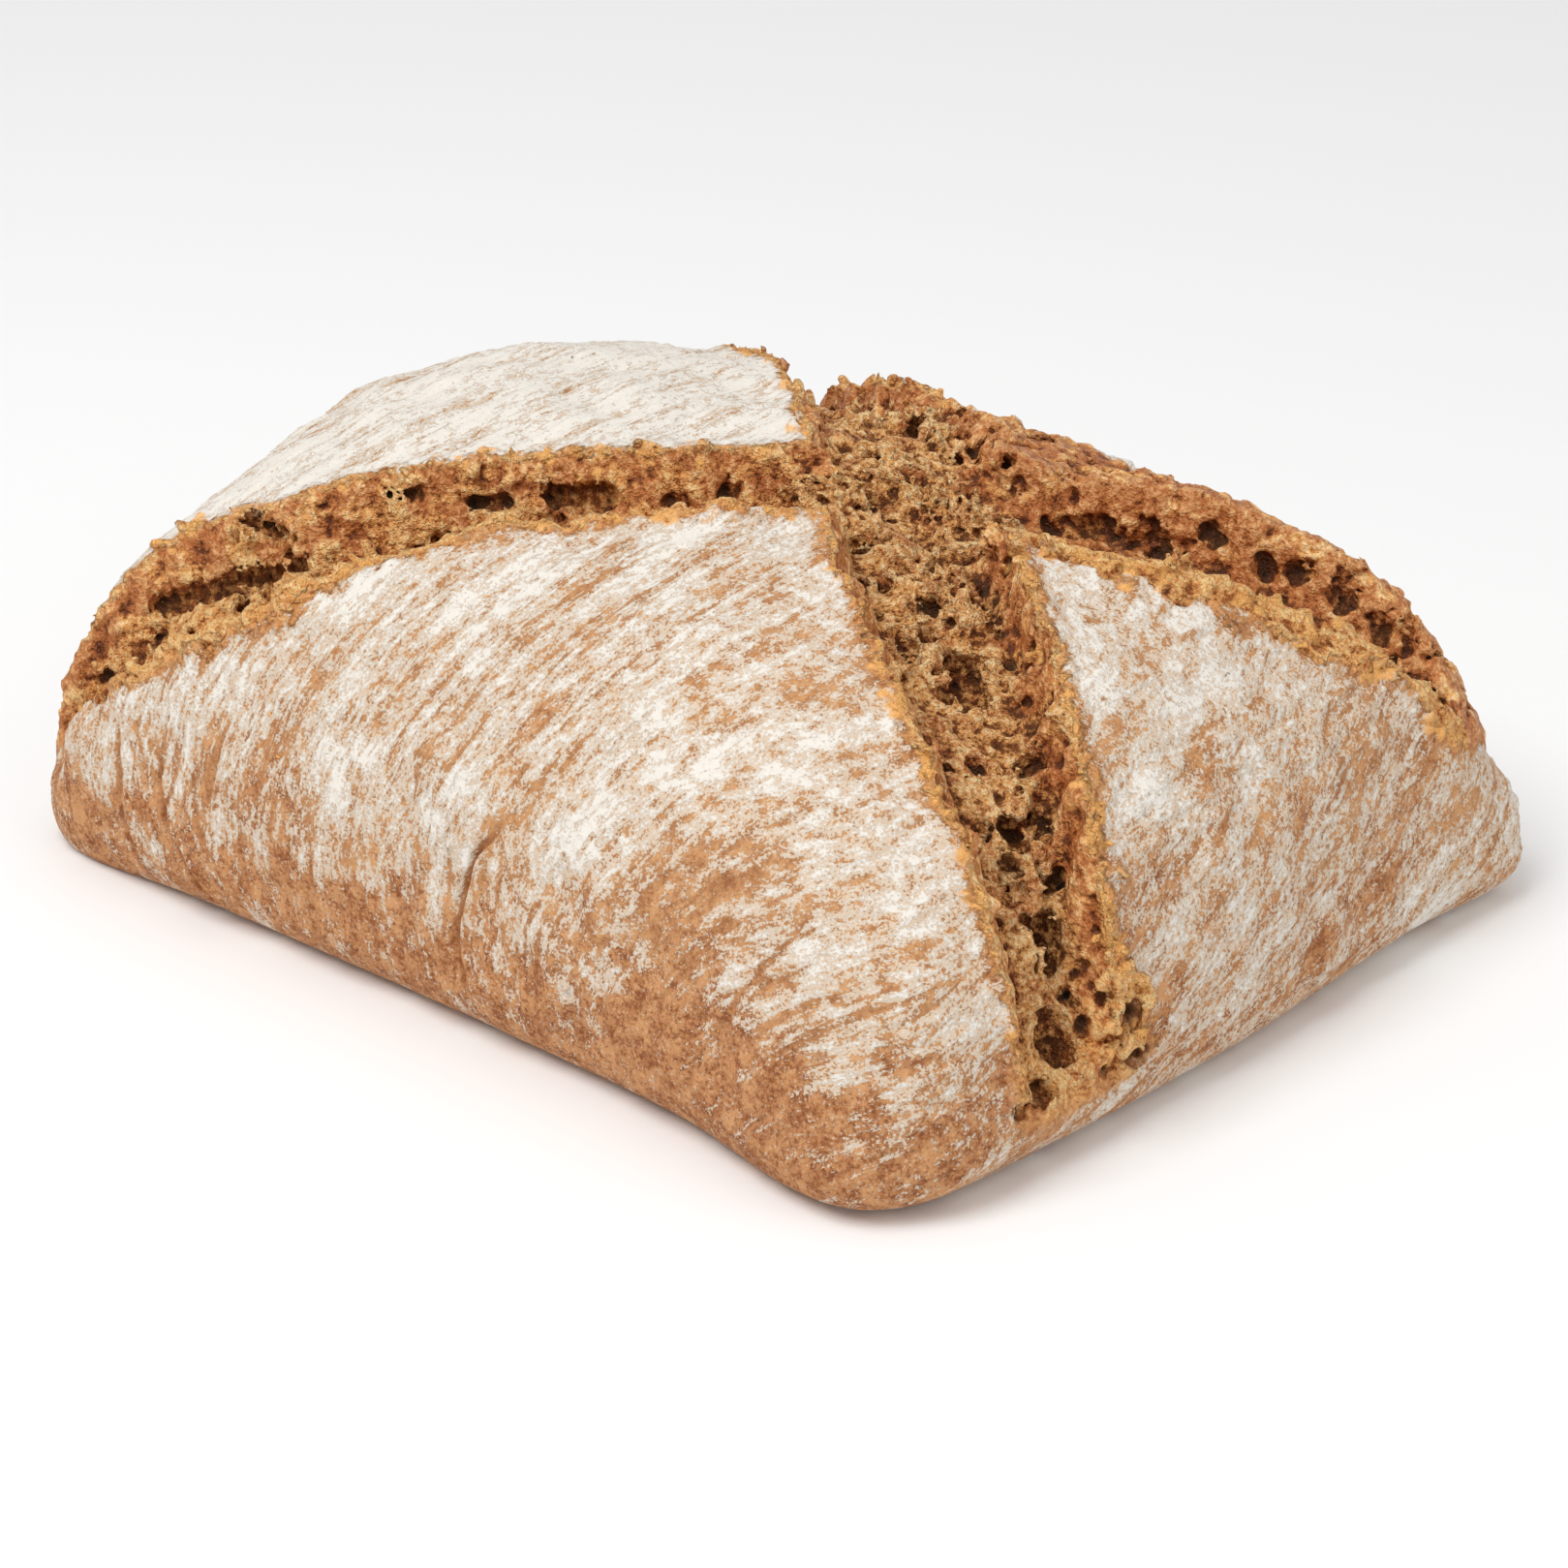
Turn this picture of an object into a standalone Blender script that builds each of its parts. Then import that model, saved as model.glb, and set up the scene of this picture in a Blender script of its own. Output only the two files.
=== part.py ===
"""A floured sourdough loaf, scored with a cross that tore open as it baked.

One solid: a low pillow on a flat base, with blunt feet and two crossing trenches of open crumb.
X runs along the front side, Y towards the back and Z up. The origin is under the loaf's middle.
"""
import math

import bmesh
import bpy
import numpy as np
from mathutils import Vector, noise

# The pillow, in metres
HALF_LENGTH = 0.1135
HALF_WIDTH = 0.0890
CROWN = 0.0835
WAIST = 0.0115            # height of the widest outline
FOOT_SHARE = 0.89         # the flat base's outline, as a share of the widest
PLAN_POWER = 8.3          # superellipse power of the outline: high is square
CORNER_POWER = 2.3        # profile power from crown to waist, over the corners
SIDE_POWER = 3.15         # the same over the middle of a side
CROWN_POWER = 2.4
CORNER = math.atan2(HALF_WIDTH, HALF_LENGTH)     # direction of the corner at +X, +Y
CORNER_SPREAD = 0.35
FRONT, RIGHT, BACK, LEFT = -math.pi / 2, 0.0, math.pi / 2, math.pi

# Where the outline swells or draws in: direction, spread in radians, reach
SWELLS = (
    (FRONT, 0.45, -0.001),
    (RIGHT, 0.45, 0.0035),
    (BACK, 0.45, -0.001),
    (LEFT, 0.45, 0.012),
    (CORNER, 0.22, 0.001),
    (math.pi - CORNER, 0.22, -0.007),
)
# Fuller or slacker shoulders: direction, spread, change of the profile's power
SHOULDERS = (
    (RIGHT, 0.5, 0.15),
    (BACK, 0.5, -0.2),
    (LEFT, 0.5, 1.2),
)
# Toes that spread at the base: direction, reach
TOES = ((-CORNER - 0.11, 0.0105), (CORNER, 0.0085), (CORNER - math.pi, 0.003))
TOE_SPREAD = 0.14
TOE_HEIGHT = 0.0215
TOE_RADIUS = 0.12
# The corner that stands on its very edge: direction, spread, gain of the foot's share
FLAT_TOE = (CORNER - math.pi, 0.14, 0.080)
# Where the dough rose higher: x, y, spread, rise
HUMPS = ((0.075, 0.058, 0.038, 0.0035), (0.098, 0.066, 0.018, 0.0050))

# The cuts, one station to a line: x, y, half width, depth
LONG_CUT = (
    (-0.112, -0.089, 0.0060, 0.000),
    (-0.103, -0.081, 0.0075, 0.006),
    (-0.083, -0.072, 0.0115, 0.011),
    (-0.061, -0.062, 0.0115, 0.013),
    (-0.032, -0.041, 0.0130, 0.014),
    (-0.004, -0.020, 0.0135, 0.013),
    (0.019, 0.003, 0.0150, 0.011),
    (0.044, 0.020, 0.0185, 0.012),
    (0.072, 0.038, 0.0145, 0.013),
    (0.092, 0.054, 0.0090, 0.010),
    (0.109, 0.066, 0.0035, 0.000),
)
CROSS_CUT = (
    (0.121, -0.055, 0.0100, 0.005),
    (0.103, -0.048, 0.0120, 0.009),
    (0.085, -0.037, 0.0140, 0.011),
    (0.051, -0.014, 0.0160, 0.012),
    (0.028, 0.008, 0.0160, 0.010),
    (0.005, 0.031, 0.0180, 0.005),
    (-0.013, 0.042, 0.0145, 0.007),
    (-0.036, 0.056, 0.0110, 0.010),
    (-0.060, 0.070, 0.0100, 0.009),
    (-0.084, 0.092, 0.0060, 0.000),
)
STEPS_PER_STATION = 14
WALL = 0.0065             # how far a trench's wall runs in from its edge
EDGE_WANDER = 0.0016      # the torn edge strays this far either way
WANDER_LENGTH = 0.011
CUT_LOW, CUT_FULL = 0.010, 0.026     # heights between which a cut fades out down the side
RIM_RISE = 0.0011
RIM_WIDTH = 0.0028
TORN_FROM, TORN_FULL = 0.001, 0.005  # carved depths over which crust gives way to crumb

# Relief
CRUMB_LUMP, CRUMB_LENGTH = 0.0017, 0.0075
CRUST_SWAY, CRUST_LENGTH = 0.0007, 0.030
POCKETS = 48
POCKET_RADII = (0.0028, 0.0058)
POCKET_DEPTH = 0.85       # of its radius
# Stretch creases up the front side: x at the foot, lean, top height, depth
CREASES = (
    (-0.074, -0.33, 0.045, 0.0010),
    (-0.064, -0.33, 0.040, 0.0012),
    (0.003, 0.12, 0.050, 0.0014),
    (0.054, 0.55, 0.052, 0.0008),
)
CREASE_WIDTH = 0.0016
CREASE_FADE = 0.015
FRONT_SIDE = -0.060       # creases stay in front of this

# The mesh
GRID = 124                # cells along each side of the sheet that is wrapped round the loaf
DOME_SHARE = 0.87         # of the rings, from crown to waist
TRIANGLES = 11500
BASE_SNAP = 0.0002        # anything lower is in the base's plane
SEED = 7


def clear_scene():
    """Removes whatever the scene starts with."""
    for item in list(bpy.data.objects):
        bpy.data.objects.remove(item, do_unlink=True)


def turn_between(angle, direction):
    """The angle from a direction, between minus pi and pi."""
    return (angle - direction + np.pi) % (2 * np.pi) - np.pi


def hill(distance, spread):
    """A smooth hill, one at no distance."""
    return np.exp(-(distance / spread) ** 2)


def ramp(value, low, high):
    """Rises smoothly from 0 at low to 1 at high."""
    share = np.clip((value - low) / (high - low), 0, 1)
    return share * share * (3 - 2 * share)


def outline(angle):
    """The widest outline's radius in a direction."""
    across = np.abs(np.cos(angle) / HALF_LENGTH) ** PLAN_POWER
    along = np.abs(np.sin(angle) / HALF_WIDTH) ** PLAN_POWER
    radius = (across + along) ** (-1 / PLAN_POWER)
    for direction, spread, reach in SWELLS:
        radius = radius + reach * hill(turn_between(angle, direction), spread)
    return radius


def profile_power(angle):
    """How full the profile is in a direction."""
    cornerness = 0
    for direction in (-CORNER, CORNER, math.pi - CORNER, CORNER - math.pi):
        cornerness = cornerness + hill(turn_between(angle, direction), CORNER_SPREAD)
    cornerness = np.clip(cornerness, 0, 1)
    power = CORNER_POWER * cornerness + SIDE_POWER * (1 - cornerness)
    for direction, spread, change in SHOULDERS:
        power = power + change * hill(turn_between(angle, direction), spread)
    return power


def profile(share, angle):
    """Radius share and height on the way from the crown (0) over the waist to the base's edge (1)."""
    dome = np.clip(share / DOME_SHARE, 0, 1) * math.pi / 2
    under = np.clip((share - DOME_SHARE) / (1 - DOME_SHARE), 0, 1) * math.pi / 2
    radius = np.sin(dome)
    fall = np.clip(1 - radius ** profile_power(angle), 0, 1)
    height = WAIST + (CROWN - WAIST) * fall ** (1 / CROWN_POWER)
    direction, spread, gain = FLAT_TOE
    foot = FOOT_SHARE + gain * hill(turn_between(angle, direction), spread)
    radius = np.where(under > 0, foot + (1 - foot) * np.cos(under), radius)
    height = np.where(under > 0, WAIST * (1 - np.sin(under)), height)
    return radius, height


def pillow(sheet):
    """Places the points of a sheet, from -1 to 1 each way, on the uncut loaf."""
    share = np.max(np.abs(sheet), axis=1)
    angle = np.arctan2(HALF_WIDTH * sheet[:, 1], HALF_LENGTH * sheet[:, 0])
    radius, height = profile(share, angle)
    radius = radius * outline(angle)
    for direction, reach in TOES:
        toe = reach * hill(turn_between(angle, direction), TOE_SPREAD) * hill(height, TOE_HEIGHT)
        radius = radius * (1 + toe / TOE_RADIUS)
    x, y = radius * np.cos(angle), radius * np.sin(angle)
    lift = 1
    for centre_x, centre_y, spread, rise in HUMPS:
        lift = lift + rise / CROWN * hill(np.hypot(x - centre_x, y - centre_y), spread)
    return np.stack([x, y, height * lift], axis=1)


def smooth_path(stations):
    """Catmull-Rom samples through a cut's stations."""
    knots = np.array(stations)
    knots = np.vstack([2 * knots[0] - knots[1], knots, 2 * knots[-1] - knots[-2]])
    steps = np.arange(STEPS_PER_STATION)[:, None] / STEPS_PER_STATION
    samples = []
    for before, start, end, after in zip(knots, knots[1:], knots[2:], knots[3:]):
        bend = 2 * before - 5 * start + 4 * end - after
        twist = 3 * start - before - 3 * end + after
        samples.append(start + 0.5 * steps * ((end - before) + steps * (bend + steps * twist)))
    return np.vstack(samples)


def lumps(points, length, shift=0.0):
    """Smooth noise between about -1 and 1 at each point."""
    offset = Vector((shift, shift, shift))
    return np.array([noise.noise(Vector(point) / length + offset) for point in points])


def cut(points, stations):
    """How deep a cut is at each point, and how far the point is outside its edge."""
    path = smooth_path(stations)
    away = np.hypot(points[:, None, 0] - path[:, 0], points[:, None, 1] - path[:, 1])
    nearest = np.argmin(away, axis=1)
    outside = away.min(axis=1) - path[nearest, 2] + EDGE_WANDER * lumps(points, WANDER_LENGTH)
    depth = np.clip(path[nearest, 3], 0, None) * ramp(-outside, 0, WALL)
    return depth, outside


def pockets(points, places):
    """Round air pockets in the torn crumb."""
    pick = np.random.default_rng(SEED)
    sunk = np.zeros(len(points))
    for centre in points[pick.choice(places, POCKETS, replace=False)]:
        radius = POCKET_RADII[0] + (POCKET_RADII[1] - POCKET_RADII[0]) * pick.random() ** 2
        stretch = pick.uniform(0.75, 1.35, 3)
        away = np.linalg.norm((points - centre) / stretch, axis=1)
        bowl = np.sqrt(np.clip(1 - (away / radius) ** 2, 0, 1))
        sunk = np.maximum(sunk, POCKET_DEPTH * radius * bowl)
    return sunk


def creases(points):
    """Stretch marks that run up the front side."""
    sunk = np.zeros(len(points))
    for place, lean, top, depth in CREASES:
        line = place + lean * points[:, 2]
        reach = 1 - ramp(points[:, 2], top - CREASE_FADE, top)
        sunk = sunk + depth * hill(points[:, 0] - line, CREASE_WIDTH) * reach
    return sunk * (points[:, 1] < FRONT_SIDE)


def relief(points):
    """How far each point of the uncut loaf moves out along its normal."""
    standing = ramp(points[:, 2], CUT_LOW, CUT_FULL)
    long_depth, long_outside = cut(points, LONG_CUT)
    cross_depth, cross_outside = cut(points, CROSS_CUT)
    depth = np.maximum(long_depth, cross_depth) * standing
    outside = np.minimum(long_outside, cross_outside)
    torn = ramp(depth, TORN_FROM, TORN_FULL)
    rim = RIM_RISE * hill(np.clip(outside - RIM_WIDTH / 2, -RIM_WIDTH, None), RIM_WIDTH) * standing
    coarse = lumps(points, CRUMB_LENGTH, shift=3.1)
    fine = lumps(points, CRUMB_LENGTH / 2, shift=5.7)
    crumb = CRUMB_LUMP * (coarse + fine / 2)
    crust = CRUST_SWAY * lumps(points, CRUST_LENGTH, shift=8.3) * ramp(points[:, 2], 0, WAIST)
    holes = pockets(points, np.flatnonzero(depth > TORN_FULL)) * torn
    return rim * (1 - torn) - depth + crumb * torn + crust - holes - creases(points) * (1 - torn)


def wrapped_sheet():
    """The loaf's skin: a square sheet whose middle is the crown and whose edge is the base's edge."""
    shell = bmesh.new()
    bmesh.ops.create_grid(shell, x_segments=GRID, y_segments=GRID, size=1)
    sheet = np.array([vertex.co.xy for vertex in shell.verts])
    for vertex, place in zip(shell.verts, pillow(sheet)):
        vertex.co = place
    rim = [edge for edge in shell.edges if edge.is_boundary]
    bmesh.ops.contextual_create(shell, geom=rim)
    bmesh.ops.recalc_face_normals(shell, faces=shell.faces)
    return shell


def carve(shell):
    """Cuts the trenches and raises the relief, except on the flat base."""
    shell.normal_update()
    points = np.array([vertex.co for vertex in shell.verts])
    normals = np.array([vertex.normal for vertex in shell.verts])
    moves = relief(points) * (points[:, 2] > BASE_SNAP)
    for vertex, place in zip(shell.verts, points + normals * moves[:, None]):
        vertex.co = place


def thinned(loaf):
    """Thins the flat stretches to the triangles allowed, and keeps the base in one plane."""
    thin = loaf.modifiers.new("thin", "DECIMATE")
    loaf.data.calc_loop_triangles()
    thin.ratio = TRIANGLES / len(loaf.data.loop_triangles)
    seen = loaf.evaluated_get(bpy.context.evaluated_depsgraph_get())
    mesh = bpy.data.meshes.new_from_object(seen)
    loaf.modifiers.remove(thin)
    for vertex in mesh.vertices:
        if vertex.co.z < BASE_SNAP:
            vertex.co.z = 0.0
    return mesh


def centre_on_origin(mesh):
    """Puts the middle of the loaf's box over the origin."""
    places = np.array([vertex.co for vertex in mesh.vertices])
    middle = (places.min(axis=0) + places.max(axis=0)) / 2
    for vertex in mesh.vertices:
        vertex.co.x -= middle[0]
        vertex.co.y -= middle[1]


def crust():
    """A browned, floured crust."""
    material = bpy.data.materials.new("crust")
    material.use_nodes = True
    shader = material.node_tree.nodes["Principled BSDF"]
    shader.inputs["Base Color"].default_value = (0.36, 0.19, 0.09, 1)
    shader.inputs["Roughness"].default_value = 0.85
    return material


def build():
    clear_scene()
    shell = wrapped_sheet()
    carve(shell)
    draft = bpy.data.meshes.new("draft")
    shell.to_mesh(draft)
    shell.free()
    loaf = bpy.data.objects.new("loaf", draft)
    bpy.context.collection.objects.link(loaf)
    loaf.data = thinned(loaf)
    loaf.data.name = "loaf"
    centre_on_origin(loaf.data)
    loaf.data.materials.append(crust())
    loaf.data.shade_smooth()


build()
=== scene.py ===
"""The looks of a floured sourdough loaf, scored with a cross that tore open as it baked.

The loaf's surface comes from a field on a regular grid: the distance to the uncut skin, with the two
cuts, the air pockets, the torn crumb and the flour's relief worked into it. A net is laid over the
field's zero, and is then split into the four lobes of crust, the baked base and the crumb of the cuts.
"""

import math

import bpy
import numpy as np
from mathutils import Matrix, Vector


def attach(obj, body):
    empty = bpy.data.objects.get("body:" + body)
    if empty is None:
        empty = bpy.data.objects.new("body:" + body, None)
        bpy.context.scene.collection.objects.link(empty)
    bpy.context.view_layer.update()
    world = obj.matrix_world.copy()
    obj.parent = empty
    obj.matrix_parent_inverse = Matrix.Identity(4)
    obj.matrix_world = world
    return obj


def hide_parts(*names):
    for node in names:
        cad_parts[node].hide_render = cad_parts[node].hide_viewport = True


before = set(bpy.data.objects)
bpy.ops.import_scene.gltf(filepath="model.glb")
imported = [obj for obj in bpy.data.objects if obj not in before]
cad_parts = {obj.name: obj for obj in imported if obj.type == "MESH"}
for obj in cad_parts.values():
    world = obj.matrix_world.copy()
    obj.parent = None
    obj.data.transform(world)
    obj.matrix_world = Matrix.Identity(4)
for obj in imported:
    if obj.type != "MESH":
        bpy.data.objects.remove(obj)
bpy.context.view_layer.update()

MM = 0.001                # the unit of some of the tables; all else is in metres

# The pillow, as the solid has it
HALF_LENGTH = 0.1135
HALF_WIDTH = 0.0890
CROWN = 0.0835
WAIST = 0.0115            # height of the widest outline
FOOT_SHARE = 0.89         # the flat base's outline, as a share of the widest
PLAN_POWER = 8.3
CORNER_POWER = 2.3
SIDE_POWER = 3.15
CROWN_POWER = 2.4
CORNER = math.atan2(HALF_WIDTH, HALF_LENGTH)     # direction of the corner at +X, +Y
CORNER_SPREAD = 0.35
FRONT, RIGHT, BACK, LEFT = -math.pi / 2, 0.0, math.pi / 2, math.pi
# Where the outline swells or draws in: direction, spread in radians, reach
SWELLS = (
    (FRONT, 0.45, -0.001),
    (RIGHT, 0.45, 0.0035),
    (BACK, 0.45, -0.001),
    (LEFT, 0.45, 0.012),
    (CORNER, 0.22, 0.001),
    (math.pi - CORNER, 0.22, -0.007),
)
# Fuller or slacker shoulders: direction, spread, change of the profile's power
SHOULDERS = (
    (RIGHT, 0.5, 0.15),
    (BACK, 0.5, -0.2),
    (LEFT, 0.5, 1.2),
)
TOES = ((-CORNER - 0.11, 0.0105), (CORNER, 0.0085), (CORNER - math.pi, 0.003))
TOE_SPREAD = 0.14
TOE_HEIGHT = 0.0215
TOE_RADIUS = 0.12
FLAT_TOE = (CORNER - math.pi, 0.14, 0.080)
HUMPS = ((0.075, 0.058, 0.038, 0.0035), (0.098, 0.066, 0.018, 0.0050))

# The cuts, one station to a line: x, y, half width, depth
LONG_CUT = (
    (-0.112, -0.089, 0.0060, 0.000),
    (-0.103, -0.081, 0.0075, 0.006),
    (-0.083, -0.072, 0.0115, 0.011),
    (-0.061, -0.062, 0.0115, 0.013),
    (-0.032, -0.041, 0.0130, 0.014),
    (-0.004, -0.020, 0.0135, 0.013),
    (0.019, 0.003, 0.0150, 0.011),
    (0.044, 0.020, 0.0185, 0.012),
    (0.072, 0.038, 0.0145, 0.013),
    (0.092, 0.054, 0.0090, 0.010),
    (0.109, 0.066, 0.0035, 0.000),
)
CROSS_CUT = (
    (0.121, -0.055, 0.0100, 0.005),
    (0.103, -0.048, 0.0120, 0.009),
    (0.085, -0.037, 0.0140, 0.011),
    (0.051, -0.014, 0.0160, 0.012),
    (0.028, 0.008, 0.0160, 0.010),
    (0.005, 0.031, 0.0180, 0.005),
    (-0.013, 0.042, 0.0145, 0.007),
    (-0.036, 0.056, 0.0110, 0.010),
    (-0.060, 0.070, 0.0100, 0.009),
    (-0.084, 0.092, 0.0060, 0.000),
)
STEPS_PER_STATION = 14
CUT_LOW, CUT_FULL = 0.010, 0.026     # heights between which a cut fades out down the side
NEAR_WALL, FAR_WALL = 0.0080, 0.0050  # how far the long cut's two walls run in
SIDE_WALL = 0.0055                    # how far the cross cut's walls run in
SADDLE = (0.037, 0.046, 0.012, 0.0035)   # a dip in the fourth lobe's crest: x, y, spread, depth
RIM_RISE = 0.0010
RIM_WIDTH = 0.0028
EDGE_WANDER = 0.0006
EDGE_TEAR = 0.0002

# Stretch creases up the front side: x at the foot, lean, bend, lowest, top height, depth
CREASES = (
    (-0.0795, -0.18, 0.0, 0.004, 0.036, 0.0010),
    (-0.0542, -1.148, 16.5, 0.001, 0.034, 0.0016),
    (-0.0440, -1.148, 16.5, 0.008, 0.034, 0.0005),
    (-0.0300, -0.10, 0.0, 0.006, 0.040, 0.0005),
    (0.0129, -0.82, 18.6, 0.008, 0.048, 0.0015),
    (0.0540, 0.55, 0.0, 0.010, 0.054, 0.0006),
)
# Short cracks in the crust, in millimetres: from, to, half width, depth
CRACKS = (
    ((50.5, -86, 37), (49, -87, 32), 1, 2),
    ((40, -87, 31.5), (38, -87, 30), 0.6, 1),
    ((46, -86.5, 36), (44, -87, 29), 0.5, 0.7),
    ((78, -85, 37.5), (85, -85, 35), 0.5, 0.8),
    ((85, -85, 35), (91, -84, 37.5), 0.5, 0.8),
    ((76, -84.5, 39), (77, -86, 33), 0.4, 0.6),
    ((58, -88, 24), (65, -88, 26), 0.5, 0.7),
)
CREASE_WIDTH, CREASE_DARK = 0.0008, 0.0012   # half width, and the depth at which a crease's painted shade is darkest
CREASE_START, CREASE_FADE = 0.004, 0.010     # heights over which a crease sets in and fades out
CREASE_WAVER = 0.0003
CREASE_LIP = 0.5          # how high the lip stands beside a crease, as a share of its depth
FRONT_SIDE = -0.060       # creases stay in front of this
# The skin's stretch marks lean and bend as they rise, fan out to the right, and turn aside past
# the cross cut; on the ends of the loaf they rise with y
FAN_LEAN, FAN_BEND, FAN_SPREAD, FAN_TURN = -0.35, 7.0, 160.0, 0.2
END_SLOPE = 0.5

# The grid of the field
CELL = 0.00068
FIELD_LOW = (-0.1310, -0.1000, -0.0025)
FIELD_HIGH = (0.1270, 0.0990, 0.0930)
DEEP = 0.030              # depths are kept to this
CUBE = 128                # points along each side of a cube of noise
TILE = 0.060              # size of that cube where nothing stretches it
SEED = 11
# The cubes: fewest and most waves along a side, how fast they fall off, seed
COARSE = (3, 10, 1.0, SEED)
FINE = (8, 40, 1.2, SEED + 1)
SHARP = (16, 56, 0.5, SEED + 2)
SHAGGY = (4, 22, 1.5, SEED + 5)

# Air pockets that stand out, in millimetres: each a run from one place to another, and its radius
POCKETS = (
    ((-92, -66.5, 48), (-81, -61, 53.5), 2.5),
    ((-78.5, -59.5, 54.8), (-64, -51, 61.2), 2.9),
    ((-70, -50.5, 65), (-66, -48.5, 66), 2.1),
    ((-55, -42.5, 73.5), (-50, -40.5, 74.5), 1.5),
    ((-42.5, -33.7, 72.7), (-37, -31, 73.5), 1.7),
    ((-30, -24.5, 74.7), (-23, -20.5, 75.1), 3.2),
    ((-12, -13.5, 75), (-10, -12.5, 75.2), 1.7),
    ((40, 34.5, 68.5), (47, 40, 69.5), 2.7),
    ((55.5, 43.5, 69.5), (57, 44, 66.5), 3),
    ((64.5, 49, 70.5), (65.5, 49.5, 69.5), 2.4),
    ((74.5, 52.5, 66.5), (75, 53, 64.5), 2.2),
    ((79, 55.5, 65), (80, 56, 64), 2.2),
    ((87, 59, 62), (88, 59.5, 60), 2.7),
    ((94, 61, 57.5), (95, 62, 54.5), 2.4),
    ((99, 63, 53), (99.5, 64, 52), 1.6),
    ((17, 14, 77.5), (30, 11, 73), 3.4),
    ((22, 31, 79), (34, 27, 73.5), 3.6),
    ((37, 8, 71.5), (40, 2, 69.5), 3.4),
    ((60, -17, 64), (67, -23, 62), 4.5),
    ((52, -16, 69), (54, -17.5, 68), 2),
    ((88, -38.5, 49.5), (90.5, -39.5, 47.5), 3.7),
    ((99, -43, 37), (100, -43.5, 33), 4.6),
    ((107.5, -48, 23), (108, -48, 19.5), 4.2),
    ((114, -35, 25), (114.5, -35, 21.5), 1.8),
)
POCKET_RAGGED = 0.0003
# Lumps of crumb that stand up in the cuts, in the same terms
MOUNDS = (
    ((13, 21, 74.5), (35, 21.5, 69), 5.6),
    ((8, 6, 73.5), (22, 3, 70), 6),
    ((42, -2, 68), (56, -8, 66), 4.5),
    ((-2, 42, 75), (10, 40, 75), 4.2),
    ((70, -30, 56), (78, -32, 54), 3.8),
)
MOUND_RAGGED = 0.0010
# Random pockets: how many, smallest and largest radius, deepest and shallowest middle
PORES = (
    (110, 0.0018, 0.0034, -0.0014, 0.0008),
    (300, 0.0009, 0.0017, -0.0008, 0.0006),
    (500, 0.0005, 0.0009, -0.0004, 0.0003),
)
PORE_STRETCH, PORE_RAGGED = 1.9, 0.24
PORE_DEPTH = 0.0015       # pores lie where the cuts are deeper than this
# They lie in the cross cut's front end too: past this x, inside the torn edge by this, above this
FRONT_END = (0.108, 0.0005, 0.013)
# Random tufts of crumb that stand out: how many, smallest and largest radius
TUFTS = ((60, 0.0012, 0.0026), (60, 0.0007, 0.0012))
TUFT_DEPTH, TUFT_RAGGED = 0.0030, 0.25
WEB = 0.00045             # how far the crumb's webs stand up
LUMP = 0.00060            # how far its lumps do
TATTER = 0.00018          # and how far its tatters do
SHAG_REACH = 0.0016       # no more than this in all
SKIN_REACH = 0.0030       # roughness is worked into the field this near its surface
GRAINS = 420              # golden grains of dough along the rims
GRAIN_RADII, GRAIN_RAGGED = (0.0006, 0.0012), 0.15
GRAIN_BAND = (0.0015, 0.0022)     # how far they lie inside the rim, and past the torn edge
ABOVE_FOOT = 0.008        # pores, tufts and grains keep this far above the crumb's lower end
# How far the crust sways, wrinkles, stands up under flour and is grainy
SWAY, WRINKLE, FLOUR_RISE, GRAIN_RISE = 0.00045, 0.00022, 0.00040, 0.00008
RIM_SHAG = 0.45           # how shaggy the crust's rim is beside the crumb
CALM_LOBE, CALM_END = 0.2, 0.6    # how much calmer the crumb is on the fourth lobe and at the right

SIDE_BLEND = 0.002        # half the width over which one side or cut passes into the other

# How far the crumb tears out past the rims: in the fourth lobe, along the long cut's near rim
# at its left end, its middle and its right end, along its far rim, and along the cross cut
TORN_LOBE = 0.0250
TORN_NEAR = (0.0032, 0.0010, 0.0066)
TORN_FAR, TORN_CROSS = 0.0002, 0.0008
TORN_WANDER, TORN_SHARP, TORN_FINE = 0.22, 0.0005, 0.0004    # how the torn edge wanders
TORN_BLEND = (-0.0004, 0.0006)
# Where along x the near rim's left end passes into its middle, and its middle into its right end
TORN_LEFT_PART, TORN_RIGHT_PART = (-0.050, -0.010), (0.040, 0.075)
TORN_RIGHT_FADE = (0.094, 0.108)
# Less at the long cut's left end, and more at the cross cut's front end, on its right
DRAWN_LEFT, DRAWN_PART = 0.0070, (-0.098, -0.074)
TORN_END, TORN_END_PART = 0.0085, (0.1130, 0.1168)
# The fourth lobe's torn crest: where it starts along x, and how it narrows away from the long cut
LOBE_PART, LOBE_NARROWS, LOBE_LEFT = (-0.045, -0.010), (0.024, 0.055), 0.1
CREST_PORES = 0.012       # how far out the pores reach on that crest

# How much higher the crumb ends than the cuts do: at the long cut's left end, where it climbs from
# a place along x over a run, at its right end, and at the cross cut's blunt back end
LEFT_END, LEFT_CLIMB, LEFT_FOOT, LEFT_RUN = 0.0060, 0.80, -0.110, 0.038
LEFT_STOP, LEFT_PART = -0.050, (-0.040, -0.010)
RIGHT_END, RIGHT_PART, RIGHT_SIDE = 0.0220, (0.098, 0.110), (0.030, 0.050)
BACK_END, BACK_TAPER, BACK_PART = 0.0060, 1.3, (0.062, 0.080)
STANDING = 0.006          # the height over which it fades in above that

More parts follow.
